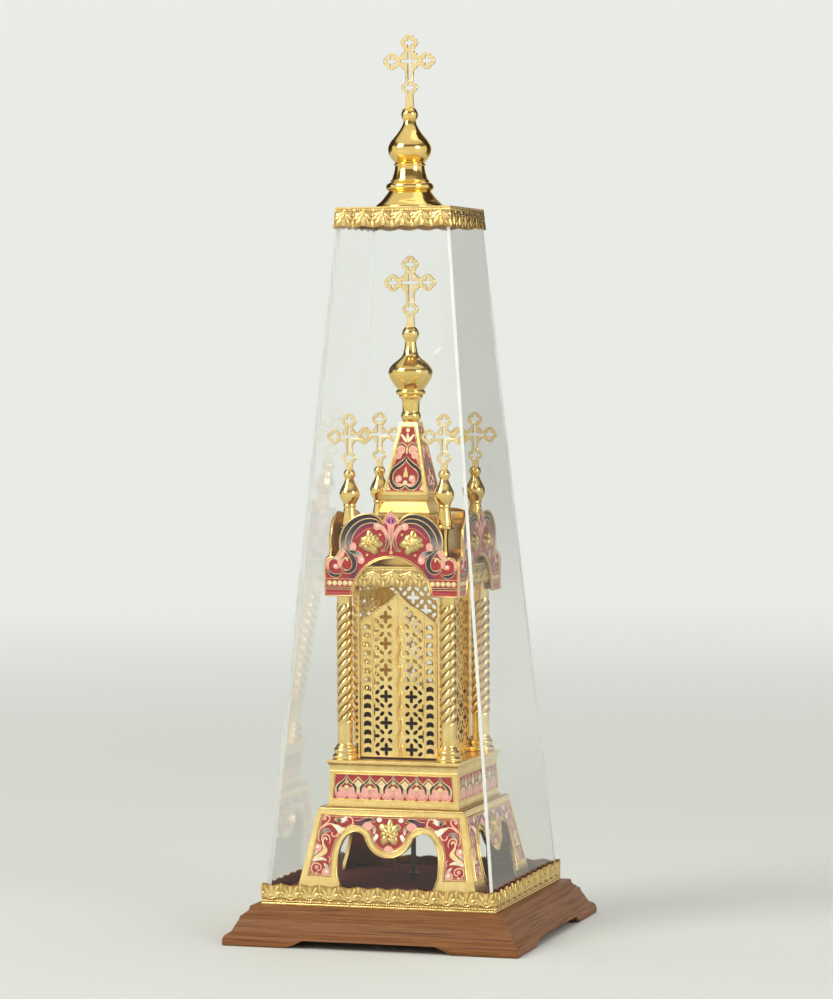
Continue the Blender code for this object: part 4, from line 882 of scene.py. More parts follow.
PALMETTE = ((0, 13.4, 20), (56, 12.8, 28), (-56, 12.8, 28), (98, 9.0, 18), (-98, 9.0, 18), (148, 12.8, 30),
            (-148, 12.8, 30))
for side, where in enumerate(SIDES):
    place = on_side(side, stage_half)
    plaque = cut_plate("stage_plaque", [plaque_edge], ENAMEL_BACK, ENAMEL_FACE, place, enamel, stage_painting,
                       RED)
    leaf = cast_relief("palmette", lobed((0.0, 101.4), 8.8, PALMETTE), 2.6, place, cast_gilt)
    settle(as_one(f"stage_plaque_{where}", [plaque, leaf]), BODY, "red_enamel", f"arch_plaque_{where}")


# The rod: dark steel, screwed up from the board to the roof of the arched stage to hold the shrine.
dark_steel, tree, shader = new_material("dark_steel", metallic=1.0, roughness=0.38)
spot = wire(tree, "ShaderNodeTexCoord").outputs["Object"]
turning = wire(tree, "ShaderNodeMapping", inputs={"Vector": spot, "Scale": (60, 60, 900)}).outputs["Vector"]
marks = wire(tree, "ShaderNodeTexNoise", inputs={"Vector": turning, "Scale": 1.0, "Detail": 2})
tree.links.new(ramp(tree, marks.outputs["Fac"], [(0.3, (0.07, 0.06, 0.05)), (0.7, (0.16, 0.14, 0.12))]),
               shader.inputs["Base Color"])


def turned(profile, centre=(0, 0), sides=64):
    """A grid of a profile of (radius, height) turned once about an upright axis."""
    radius, z = np.asarray(profile, float).T[:, :, None]
    around = np.linspace(0, 2 * np.pi, sides + 1)
    return np.stack([centre[0] + radius * np.cos(around), centre[1] + radius * np.sin(around), z + 0 * around],
                    axis=-1)


rod_low, rod_high = (corner[2] * 1000 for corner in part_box("tie_rod"))
rod = [(0, rod_low), (2.4, rod_low), (2.4, rod_low + 5), (4.4, rod_low + 5), (4.4, rod_low + 7.6),
       (2.4, rod_low + 7.6),
       (2.4, rod_high), (0, rod_high)]
settle(skin("dark_rod", [turned(rod, sides=24)], dark_steel), BODY, "dark_steel", "tie_rod")


# The band stage: a box of gilt sheet with a moulded foot and a coved cornice, soldered up, standing on
# the arched stage. A thin wire frames each enamel panel.
BAND_FOOT, BAND_TOP = 123.3, 167.0
PANEL_FOOT, PANEL_TOP = 130.1, 154.2


def band_half(z):
    """Half width of the band stage between its foot and its cornice, which falls evenly."""
    return 63.4 - (z - 127.7) / 28.9


band_profile = np.array([
    (0, BAND_FOOT), (64.2, BAND_FOOT), (64.6, BAND_FOOT + 0.4), (64.6, 126.0), (64.2, 126.5),
    (63.6, 126.9), (63.4, 127.7), (62.45, 155.4), (62.9, 155.7), (63.0, 156.4), (62.6, 156.8),
    *smooth_run([(62.5, 157.2), (62.5, 159.4), (63.1, 162.0), (64.4, 164.3)], 4),
    (64.8, 164.6), (64.8, BAND_TOP - 0.5), (64.4, BAND_TOP), (0, BAND_TOP),
])
band_parts = [skin("band_body", moulding(band_profile), sheet_gilt)]
panel_edge = np.array([(-59.9, PANEL_FOOT), (59.9, PANEL_FOOT), (57.6, PANEL_TOP), (-57.6, PANEL_TOP)])
for side in range(4):
    frame_wire = wire_along(panel_edge, on_side(side, band_half), 0.7, 0.8, closed=True)
    band_parts.append(skin("band_wire", [frame_wire], polished_gilt))
settle(as_one("band_box", band_parts), BODY, "gilt_brass", "band_stage")

# Its panels: red enamel with a row of five pointed hearts, each with two pink lobes and a gold bud,
# and pale diamonds between their points.
band_painting = framed(panel_edge, 0.3, 0.45, GOLD_LINE)
for centre in (-46, -23, 0, 23, 46):
    leaf = np.array([(0, 24.2), (0.9, 20.8), (4.4, 17.2), (8.9, 14.2), (10.7, 10.6), (10.6, 7.0), (8.6, 3.2)])
    half_heart = (
        ringed(5.5, 6.0, 5.9, tone(228, 140, 134), rim=0.6) + disc(5.3, 7.0, 4.2, PINK)
        + stroke(leaf[:6], [0.7, 1.0, 1.2, 1.2, 1.0], GOLD_LINE, CREAM)
        + stroke(leaf[:6] * (0.83, 0.93) + (0, 0.2), [0.5, 1.5, 2.3, 2.2, 1.2], BLACK)
        + stroke(leaf[:5] * (0.66, 0.84) + (0, 0.9), [0.4, 0.7, 0.8, 0.6], GOLD_LINE)
    )
    bud = disc(0, 11.4, 2.5, GOLD_LINE, 2.2) + disc(-0.4, 11.9, 1.1, CREAM) + disc(0, 16.2, 1.4, GOLD_LINE)
    heart = mirrored(half_heart) + bud
    band_painting += [(shape + (centre, PANEL_FOOT), paint) for shape, paint in heart]
for centre in (-34.5, -11.5, 11.5, 34.5):
    jewel = (
        stroke([(-6.6, 15.2), (-3.2, 18.2), (0, 21.6)], [0.5, 1.3, 1.0], GOLD_LINE)
        + stroke([(6.6, 15.2), (3.2, 18.2), (0, 21.6)], [0.5, 1.3, 1.0], GOLD_LINE)
        + [(np.array([(0, 11.2), (3.9, 15.2), (0, 19.2), (-3.9, 15.2)]), GOLD_LINE),
           (np.array([(0, 12.0), (3.1, 15.2), (0, 18.4), (-3.1, 15.2)]), CREAM)]
        + disc(0, 15.2, 1.0, PINK) + disc(0, 8.6, 1.1, GOLD_LINE)
    )
    band_painting += [(shape + (centre, PANEL_FOOT), paint) for shape, paint in jewel]
for side, where in enumerate(SIDES):
    place = on_side(side, band_half)
    panel = cut_plate(f"band_panel_{where}", [panel_edge], ENAMEL_BACK, ENAMEL_FACE, place, enamel,
                      band_painting, RED)
    settle(panel, BODY, "red_enamel", f"band_plaque_{where}")


# The columns: cast brass, each a plain round shaft twisted into four strands between a turned base and
# a plain head, polished and gilded, screwed up through the band stage's roof.
COLUMN_PLACE = 50.9
SHAFT_RADIUS = 7.2
TWIST_FOOT, TWIST_HEAD, TWIST_LEAD = 203.4, 313.3, 34.7
column_z = np.linspace(TWIST_FOOT - 2, TWIST_HEAD + 2, 230)[:, None]
around = np.linspace(0, 2 * np.pi, 65)
twist = 2 * np.pi * (column_z - TWIST_FOOT) / TWIST_LEAD
strand = np.abs(np.cos(2 * (around - twist))) ** 0.62
ease = np.clip(np.minimum(column_z - TWIST_FOOT + 2, TWIST_HEAD + 2 - column_z) / 4, 0, 1)
shaft_radius = SHAFT_RADIUS * (1 - ease) + (5.7 + 2.2 * strand) * ease
column_gilt = gilt("column_gilt", (0.97, 0.73, 0.31), (0.88, 0.61, 0.22), 0.18, 0.10, 45, painted_shade=True)
column_foot = np.array([
    (0, 167.3), (11.8, 167.3), (12.1, 168.0), (12.1, 170.6), (11.6, 171.4), (10.7, 171.9), (10.3, 172.6),
    *smooth_run([(10.2, 173.2), (10.9, 174.6), (10.9, 176.2), (10.1, 177.6)], 4),
    (9.6, 178.2), (9.0, 178.6), (8.9, 179.6), *smooth_run([(8.6, 179.9), (7.6, 181.0), (7.2, 183.0)], 3),
    (7.2, 190), (7.2, TWIST_FOOT - 2),
])
column_head = np.array([
    (7.2, TWIST_HEAD + 2), (7.2, 322), (7.2, 343.6), (8.2, 344.2), (8.4, 345.4), (8.2, 346.9), (0, 346.9),
])
CORNERS = (("front_left", -1, -1), ("front_right", 1, -1), ("back_right", 1, 1), ("back_left", -1, 1))
for where, sx, sy in CORNERS:
    centre = (sx * COLUMN_PLACE, sy * COLUMN_PLACE)
    shaft = np.stack([centre[0] + shaft_radius * np.cos(around), centre[1] + shaft_radius * np.sin(around),
                      column_z + 0 * around], axis=-1)
    parts = [turned(column_foot, centre), shaft, turned(column_head, centre)]
    # Painted shade in the grooves between the twisted strands.
    painted_shade = [0 * parts[0][..., 2], 0.95 * ease * (1 - strand) ** 1.3, 0 * parts[2][..., 2]]
    column = skin(f"twisted_column_{where}", parts, column_gilt, values={"painted_shade": painted_shade}, sharp=50)
    settle(column, BODY, "gilt_brass", f"column_{where}")


# The casket's walls and doors: brass sheet pierced with a lattice of crosses and slanting ovals, gilded.
# Each wall slides between two columns. The lower part is lined with red velvet.
CASKET_FOOT, CASKET_TOP = 167.3, 346.9
CASKET_HALF = 44.5
COLUMN_FOOT_HEIGHT = 14.5
SHEET_THICK = 1.6
LATTICE = 12.5
FIRST_ROW = 176.4
MARGIN = 1.2


def petal_cross(x, z, reach=6.4, waist=2.1, count=24):
    """A hole of four petals: radius waist + (reach - waist) |cos 2a|^1.5."""
    turn = np.linspace(0, 2 * np.pi, count + 1)[:-1]
    radius = waist + (reach - waist) * np.abs(np.cos(2 * turn)) ** 1.5
    return np.stack([x + radius * np.cos(turn), z + radius * np.sin(turn)], axis=-1)


def slanting_ovals(x, z, away=3.95):
    """Four ovals on the diagonals of a knot of the lattice, each lying along its diagonal."""
    corners = [(sx, sz) for sx in (-1, 1) for sz in (-1, 1)]
    return [disc(x + sx * away, z + sz * away, 2.85, None, 1.75, 45 * sx * sz, 10)[0][0] for sx, sz in corners]


def lattice(low_x, high_x, top_at, foot, parity):
    """Every hole of the lattice that keeps a margin of metal inside the edges. Crosses and knots of four
    ovals take turns, as on a chessboard, and parity says which of them comes first."""
    holes = []
    for i in range(-4, 5):
        for j in range(-1, 15):
            x, z = LATTICE * i, FIRST_ROW + LATTICE * j
            holes += [petal_cross(x, z)] if (i + j + parity) % 2 == 0 else slanting_ovals(x, z)
    kept = []
    for hole in holes:
        x, z = hole.T
        beside = x.min() > low_x + MARGIN and x.max() < high_x - MARGIN
        if beside and z.min() > foot + MARGIN and np.all(z < top_at(x) - 1.5 * MARGIN):
            kept.append(hole)
    return kept


def plain_depth(distance, side):
    """Puts (across, height) on an upright plane at a distance from the axis."""
    return on_side(side, lambda z: distance + 0 * z)


# Beside the columns' feet a wall ends where its plane meets a circle of 12.3 mm round the column.
bare_foot = COLUMN_PLACE - math.sqrt(12.3**2 - (COLUMN_PLACE - CASKET_HALF)**2)
for side, where, half in ((1, "right", 42.6), (2, "back", 44.5), (3, "left", 42.6)):
    edge = np.array([(-bare_foot, CASKET_FOOT), (bare_foot, CASKET_FOOT),
                     (bare_foot, CASKET_FOOT + COLUMN_FOOT_HEIGHT),
                     (half, CASKET_FOOT + COLUMN_FOOT_HEIGHT), (half, CASKET_TOP), (-half, CASKET_TOP),
                     (-half, CASKET_FOOT + COLUMN_FOOT_HEIGHT), (-bare_foot, CASKET_FOOT + COLUMN_FOOT_HEIGHT)])
    inside = min(half, 41.5)
    holes = lattice(-inside, inside, lambda x: CASKET_TOP - 3 + 0 * x, CASKET_FOOT + 3, 0)
    holes = [hole for hole in holes
             if np.abs(hole[:, 0]).max() < bare_foot - 1.5 or hole[:, 1].min() > CASKET_FOOT + 16]
    place = plain_depth(CASKET_HALF, side)
    wall = cut_plate("wall_sheet", [edge, *holes], -SHEET_THICK, 0, place, sheet_gilt)
    bars = [wire_along([(s * (half - 1.2), CASKET_FOOT + 15.5), (s * (half - 1.2), CASKET_TOP - 0.5)], place,
                       0.8, 0.7) for s in (-1, 1)]
    settle(as_one(f"pierced_wall_{where}", [wall, skin("wall_bars", bars, polished_gilt)]), BODY, "gilt_brass",
           f"casket_wall_{where}")

for where, sign in (("left", -1), ("right", 1)):
    edge = np.array([(sign * bare_foot, CASKET_FOOT), (sign * bare_foot, CASKET_FOOT + COLUMN_FOOT_HEIGHT),
                     (sign * CASKET_HALF, CASKET_FOOT + COLUMN_FOOT_HEIGHT), (sign * CASKET_HALF, CASKET_TOP),
                     (sign * 38.5, CASKET_TOP), (sign * 38.5, CASKET_FOOT)])
    holes = [disc(sign * 41.4, CASKET_FOOT + 20
                  + 6.25 * k, 2.0, None, 1.0, 62 * (-1) ** k, 10)[0][0] for k in range(25)]
    jamb = cut_plate(f"pierced_jamb_{where}", [edge, *holes], -SHEET_THICK, 0, plain_depth(CASKET_HALF, 0),
                     sheet_gilt)
    settle(jamb, BODY, "gilt_brass", f"jamb_{where}")

# The doors: two leaves of the same sheet, each soldered to a plain stile that turns on its outer edge.
# The right leaf carries a cover strip with curls along the meeting line, so its lattice starts further
# out. Beside the lattice runs a ladder of small arched cells.
DOOR_FOOT = 169.0
HINGE_PLACE, HINGE_DEPTH = 37.0, 43.7
LATCH_TOP = CASKET_FOOT + 125
MEETING_GAP = 0.16
LADDER_PLACE, LADDER_PITCH = 30.8, 8.33
CELL_HALF = 3.7
ROWS = 2 * LATTICE


def door_head(x):
    """Height of the leaves' ogee top: it falls from the meeting line to the hinge with one wave."""
    share = np.clip(np.abs(x) / HINGE_PLACE, 0, 1)
    return CASKET_FOOT + 130 + 28 * (1 - share) * (0.95 + 0.05 * np.cos(3 * np.pi * share))


def seam(z):
    """The meeting line: a sine wave of 1.1 mm up to a height, then straight."""
    return 1.1 * np.sin(2 * np.pi * (z - LATCH_TOP) / ROWS) * (z < LATCH_TOP)


for where, sign in (("left", -1), ("right", 1)):
    z = np.linspace(DOOR_FOOT, LATCH_TOP, 61)
    x = np.linspace(0, HINGE_PLACE, 26)[1:]
    rise = np.column_stack([seam(z) + sign * MEETING_GAP, z])
    head = np.column_stack([sign * x, door_head(x)])
    edge = np.vstack([rise, [(sign * MEETING_GAP, door_head(0.0))], head, [(sign * HINGE_PLACE, DOOR_FOOT)]])
    low_x, high_x = sorted((sign * (5.9 if sign > 0 else 2.2), sign * 24.6))
    holes = lattice(low_x - MARGIN, high_x + MARGIN, lambda u: door_head(u) - 1.0, DOOR_FOOT - 0.8, 1)
    for k in range(15):
        height = FIRST_ROW + LATTICE + ROWS * k
        half_cross = petal_cross(sign * ROWS, height)
        half_cross[:, 0] = sign * np.minimum(np.abs(half_cross[:, 0]), 24.4)
        if k < 5:
            step = np.linalg.norm(half_cross - np.roll(half_cross, -1, axis=0), axis=1)
            holes.append(half_cross[step > 0.02])
        middle, low = sign * LADDER_PLACE, DOOR_FOOT + 3.2 + LADDER_PITCH * k
        if low + 6 < DOOR_FOOT + 127:
            crown = arc((middle, low + 3.4), (CELL_HALF, 2.6), 0, 180, 8)
            sill = [(middle - CELL_HALF, low + 0.4), (middle, low + 1.3), (middle + CELL_HALF, low + 0.4)]
            holes.append(np.vstack([crown, sill]))
    place = plain_depth(CASKET_HALF, 0)
    leaf = cut_plate("door_leaf", [edge, *holes], -SHEET_THICK, 0, place, sheet_gilt)
    bars = [
        wire_along([(sign * 25.5, DOOR_FOOT + 1), (sign * 25.5, door_head(25.5) - 1.2)], place, 0.65, 0.7),
        wire_along([(sign * 35.9, DOOR_FOOT + 1), (sign * 35.9, door_head(35.9) - 1.2)], place, 0.65, 0.7),
        wire_along(np.column_stack([sign * x, door_head(x) - 0.9])[:-1], place, 0.8, 0.8),
    ]
    if sign > 0:
        bars.append(wire_along(np.column_stack([seam(z) + 0.95, z]), place, 0.7, 1.9))
        for k in range(10):
            low = DOOR_FOOT + 3 + LATTICE * k
            a = np.linspace(0, 2.3 * np.pi, 22)
            r = 0.5 + 1.9 * a / a[-1]
            lean = (-1) ** k
            path = np.column_stack([3.9 + r * np.sin(a) * lean, low + 6 + r * np.cos(a)])
            bars.append(wire_along(path, place, 0.42, 0.75))
    else:
        bars.append(wire_along(np.column_stack([seam(z) - 1.3, z]), place, 0.6, 0.6))
    stile_profile = [(0, 169.5), (1.2, 169.5)]
    for k in range(3):
        stile_profile += [(1.2, 181 + 43 * k), (0.8, 181.2 + 43 * k), (0.8, 181.8 + 43 * k),
                          (1.2, 182 + 43 * k)]
    stile_profile += [(1.2, 296.4), (0, 296.8)]
    stile = skin("door_stile", [turned(stile_profile, (sign * HINGE_PLACE, -HINGE_DEPTH), 20)], polished_gilt)
    door = as_one(f"pierced_door_{where}", [leaf, skin("door_bars", bars, polished_gilt), stile])
    settle(door, f"door_{where}", "gilt_brass", f"door_{where}")

casket_velvet = velvet_cloth("casket_velvet", (0.135, 0.022, 0.024), (0.055, 0.012, 0.013))
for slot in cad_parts["velvet_lining"].material_slots:
    slot.material = casket_velvet


# The entablature: a plate that ties the four columns, with the same stamped strip hanging round it.
plate_foot, plate_head = 347.2, 350.0
plate_grids = moulding([
    (0, plate_foot), (61, plate_foot), (61.3, plate_foot + 0.3),
    (61.3, plate_head - 0.3), (61, plate_head), (0, plate_head),
])
settle(skin("entablature", plate_grids, sheet_gilt), BODY, "gilt_brass", "entablature_plate")
frieze_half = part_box("frieze")[1][0] * 1000
stamped_strip("stamped_frieze", "frieze", 7, lambda z: frieze_half
              + 0 * z, plate_head, plate_head - STRIP_HEIGHT, stamped_gilt)


# The gables: four plates of enamelled brass on the entablature's edges, sawn to two curling leaves and
# a bud over a round arch, with a soldered wire edge and two cast vine leaves riveted on each.
GABLE_FOOT = 322.4
GABLE_FACE, ENAMEL_DEPTH, GABLE_DEPTH = 65.5, 1.4, 2.2
HOOP_RADIUS = 38.4


def gable_outline(half):
    """Right half of the edge, from the foot up: a volute, a leaf of two arcs, and half of the bud."""
    volute = arc((half - 7.8, 28.4), (7.8, 7.8), 0, 112, 12)
    outer = arc((21.4, 49.8), (29, 27.2), -13, 90, 20)
    notch = math.degrees(math.acos((21.4 - 6.8) / 19.6))
    inner = arc((21.4, 49.8), (19.6, 27.2), 90, 180 - notch, 9)
    bud_side = smooth_run([inner[-1], (6.4, 71.5), (4.6, 75.6), (1.6, 78.6), (0, 80.2)], 3)
    return np.vstack([[(half, 0.0)], volute, outer, inner[1:], bud_side[1:]])


def gable_painting(half):
    """The enamel of one half: leaves, volutes, a stem and a row of dots, from the underlayers up."""
    shift = np.array([half - 65.4, 0.0])
    outer_leaf = [(8.4, 70.4), (13.5, 74.0), (21, 75.2), (30, 73.6), (38.6, 68.4), (44.8, 60.6), (47.6, 52.4),
                  (47.2, 45.6), (45.2, 40.4)]
    inner_leaf = [(8.6, 66.4), (13, 69.6), (20, 70.6), (28, 68.9), (35.4, 64.0), (40.2, 57.2), (41.8, 50.8),
                  (39.6, 44.6), (35.4, 41.8)]
    layers = []
    layers += stroke([(12, 66.0), (20, 67.2), (29, 64.5), (36, 57.5), (38.8, 50)], [0.5, 3.5, 7.0, 7.0, 1.0],
                     PLUM, tone(128, 34, 58), tone(150, 60, 80))
    layers += stroke(outer_leaf, [0.6, 3.4, 5.2, 5.6, 5.8, 5.6, 5.0, 4.4, 3.0], BLACK, BLACK, BLACK, BLACK,
                     BLACK, tone(72, 62, 72), GREY, PINK)
    layers += stroke(inner_leaf, [0.5, 2.0, 3.2, 3.8, 4.2, 4.4, 4.2, 3.6, 2.0], BLACK, BLACK, BLACK, BLACK,
                     tone(92, 84, 92), GREY, PINK)
    layers += stroke([(10.4, 68.2), (14.2, 71.6), (21, 72.8), (29, 71.2), (37, 66.2), (42.6, 58.8),
                      (45.0, 51.5), (44.0, 45.2), (40.6, 39.4)], [0.5, 0.9, 0.9, 0.9, 0.8], GOLD_LINE)
    layers += stroke([(10.6, 64.6), (14.4, 67.8), (20.5, 68.6), (28, 66.6), (34, 61.6), (38, 55), (38.8, 49.0)],
                     [0.4, 0.7, 0.8, 0.7, 0.5], GOLD_LINE)
    layers += stroke([(13, 62.5), (18, 63.8), (24, 62.6), (30, 58.6), (34.6, 53.4)], [0.3, 0.8, 0.8, 0.4],
                     BLUSH)
    layers += stroke([(49.6, 55.0), (50.4, 48), (49.4, 43.4)], [0.6, 2.6, 1.0], tone(92, 74, 84), PINK)
    layers += ringed(37.3, 46.4, 3.2, PINK, 3.8)
    volute = stroke([(33.0, 27.0), (36.6, 19.6), (42.6, 16.6)], [1.0, 5.0, 1.0], PLUM, tone(96, 36, 60))
    volute += ringed(43.3, 30.2, 6.4, RED, rim=0.6)
    volute += stroke([(47.8, 31.0), (46.6, 34.6), (43.6, 35.0), (43.0, 32.6)], [0.5, 1.6, 1.6, 1.2], GOLD_LINE,
                     CREAM)
    volute += lined([(46.6, 45.4), (43, 41.9), (38.4, 36.6), (36.2, 30.9), (37.5, 25.5), (41.6, 22.5),
                     (46.5, 23.2), (48.9, 27.2)],
                    [1.2, 3.0, 4.2, 4.2, 3.6, 2.8, 1.8, 0.6], GREY, tone(92, 84, 92), BLACK, BLACK, BLACK,
                    tone(110, 42, 66), tone(110, 42, 66))
    volute += lined([(62.6, 23.6), (58.4, 19.8), (53.4, 18.7), (48.6, 20.9)], [0.5, 2.8, 2.8, 0.5], BLACK)
    volute += lined([(54.2, 26.8), (51.0, 29.0), (50.7, 32.8), (53.4, 35.8), (57.8, 36.4), (61.9, 33.2),
                     (63.0, 28.4), (62.0, 24.4)],
                    [2.6, 3.2, 3.4, 3.4, 3.2, 2.8, 2.2, 0.8], BLUSH, PINK, PINK, WHITE, PINK, PINK, BLUSH)
    volute += disc(54.9, 27.6, 2.3, PINK) + disc(54.5, 28.1, 0.9, WHITE)
    volute += ringed(49.6, 39.6, 3.6, PINK, 4.4, 25, rim=0.6)
    layers += [(shape + shift * 0.8, paint) for shape, paint in volute]
    layers += lined([(42.0, 42.4), (37.4, 41.2), (32.8, 39.4), (29.6, 35.4), (29.4, 32.0)],
                    [0.5, 3.0, 4.4, 4.8, 3.4], BLACK, BLACK, GREY, PINK, PINK)
    layers += disc(29.6, 33.6, 3.5, PINK) + disc(28.8, 34.4, 1.1, WHITE)
    layers += lined([(13.8, 66.4), (9.0, 64.2), (5.4, 60.0), (3.6, 54.6), (3.6, 49.0), (6.2, 43.6),
                     (9.6, 42.6)],
                    [3.4, 3.4, 3.0, 2.4, 2.0, 1.4, 0.4], PINK, PINK, PINK, tone(92, 74, 84), BLACK, BLACK)
    layers += ringed(13.6, 65.4, 3.5, PINK) + disc(13.0, 66.0, 1.1, WHITE)
    layers += disc(10.8, 57.6, 1.2, GOLD_LINE) + disc(23.6, 38.6, 1.1, GOLD_LINE)
    for height, thick, paint in ((2.7, 0.35, BLUSH), (6.0, 0.5, GOLD_LINE), (6.9, 1.0, BLACK),
                                 (7.7, 0.5, GOLD_LINE), (15.6, 0.5, GOLD_LINE)):
        layers.append((np.array([(36, height), (half - 0.6, height), (half - 0.6, height + thick),
                                 (36, height + thick)]), paint))
    for x in np.linspace(40.4, 60.9, 5) + shift[0] * 0.8:
        layers += disc(x, 11.9, 2.5, GOLD_LINE) + disc(x - 0.3, 12.2, 1.3, CREAM)
    return layers


VINE_LEAF = (
    (8, 12.4, 24), (40, 7.6, 14), (68, 11.0, 22), (102, 12.0, 22), (134, 9.4, 18),
    (172, 8.6, 20), (206, 12.2, 26), (262, 12.6, 28), (310, 9.6, 24),
)
brown_gilt = gilt("brown_gilt", (0.62, 0.34, 0.10), (0.42, 0.20, 0.055), 0.20, 0.22, 30)
stem = (
    stroke([(0, 66), (0, 58), (0, 50), (0, 41.6)], [6.6, 4.6, 2.4, 0.4], GOLD_LINE)
    + stroke([(0, 66), (0, 58), (0, 50), (0, 43)], [5.4, 3.4, 1.4, 0.3], PINK, BLUSH, GOLD_LINE)
    + [(np.array([(-6.1, 69), (-3.4, 66.2), (3.4, 66.2), (6.1, 69), (5.9, 72.4), (4.1, 75.6), (0, 79.4),
                  (-4.1, 75.6), (-5.9, 72.4)]), PINK)]
    + disc(0, 71.0, 5.0, tone(186, 92, 140), 3.6) + disc(0, 70.4, 3.2, tone(122, 40, 96), 2.2)
    + stroke([(0, 66.5), (0, 70), (0, 73.6)], [0.4, 1.4, 0.3], tone(214, 140, 190))
    + disc(0, 40.9, 1.6, GOLD_LINE)
)
for side, where in enumerate(SIDES):
    half = 65.4 if side % 2 == 0 else 63.0
    right = gable_outline(half)
    hoop = arc((0, -2.4), (HOOP_RADIUS, HOOP_RADIUS), 90, math.degrees(math.asin(2.4 / HOOP_RADIUS)), 22)
    edge = np.vstack([right, (right * (-1, 1))[::-1][1:], (hoop * (-1, 1))[::-1][:-1], hoop]) + (0, GABLE_FOOT)
    painting = mirrored(gable_painting(half)) + stem
    layers = framed(edge, 1.1, 0.4, BLUSH) + [(shape + (0, GABLE_FOOT), paint) for shape, paint in painting]
    place = plain_depth(GABLE_FACE, side)
    face = cut_plate("gable_face", [edge], -ENAMEL_DEPTH, 0, place, enamel, layers, RED)
    back = cut_plate("gable_back", [edge], -GABLE_DEPTH, -ENAMEL_DEPTH, place, brown_gilt)
    rims = skin("gable_rims", [
        wire_along(edge, place, 0.85, 0.75, closed=True),
        wire_along(both_halves(hoop * (40.2 / HOOP_RADIUS)) + (0, GABLE_FOOT), place, 0.5, 0.45),
    ], polished_gilt)
    leaves = [
        cast_relief("vine_leaf", lobed((sign * 20.3, GABLE_FOOT + 49.9), 9.0, VINE_LEAF, sign), 3.0, place,
                    cast_gilt)
        for sign in (-1, 1)
    ]
    settle(as_one(f"gable_{where}", [face, back, rims, *leaves]), BODY, "red_enamel", f"kokoshnik_{where}")


# The attic: a plain box of gilt sheet behind the gables, with a fine bead round it near the top.
attic_profile = [
    (0, 350.3), (40, 350.3), (40, 390.7), (40.5, 390.9), (40.9, 391.4), (40.9, 391.9), (40.5, 392.3),
    (40, 392.5),
    (40, 397.1), (39.6, 397.5), (0, 397.5),
]
settle(skin("attic_box", moulding(attic_profile), sheet_gilt), BODY, "gilt_brass", "attic")

# The spire: a flared skirt, a neck and a base moulding under four steep faces, folded from gilt sheet,
# with a wire round each enamel plaque.
SPIRE_FOOT, SPIRE_TOP = 416.3, 484.3


def spire_half(z):
    """Half width of the spire's steep faces, which falls evenly with the height."""
    return 22.0 - 13.5 * (z - SPIRE_FOOT) / (SPIRE_TOP - SPIRE_FOOT)


bright_gilt = gilt("bright_gilt", (0.74, 0.55, 0.20), (0.69, 0.49, 0.16), 0.30, 0.10, 40)
skirt_profile = np.array([
    (0, 397.8), (25.2, 397.8), (25.6, 398.2),
    *smooth_run([(25.6, 399.4), (24.0, 402.4), (22.3, 405.6), (21.0, 409.2)], 4),
    (20.7, 409.6), (20.7, 410.7), (22.9, 411.0), (23.3, 411.5), (23.3, 414.5), (22.9, 415.0), (22.3, 415.3),
    (22.2, 416.1), (0, 416.1),
])
cone_profile = [(0, 415.9), (22.0, 415.9), (22.0, SPIRE_FOOT), (8.5, SPIRE_TOP - 0.4), (8.2, SPIRE_TOP),
                (0, SPIRE_TOP)]
spire_parts = [skin("spire_skirt", moulding(skirt_profile), bright_gilt),
               skin("spire_faces", moulding(cone_profile), sheet_gilt)]
FACE_FOOT, FACE_TOP = 418.6, 480.1
face_edge = np.array([(-19.3, FACE_FOOT), (19.3, FACE_FOOT), (6.3, FACE_TOP), (-6.3, FACE_TOP)])
for side in range(4):
    place = on_side(side, spire_half)
    spire_parts.append(skin("spire_wires", [wire_along(face_edge, place, 0.6, 0.7, closed=True)],
                            polished_gilt))
settle(as_one("spire_body", spire_parts), BODY, "gilt_brass", "spire")

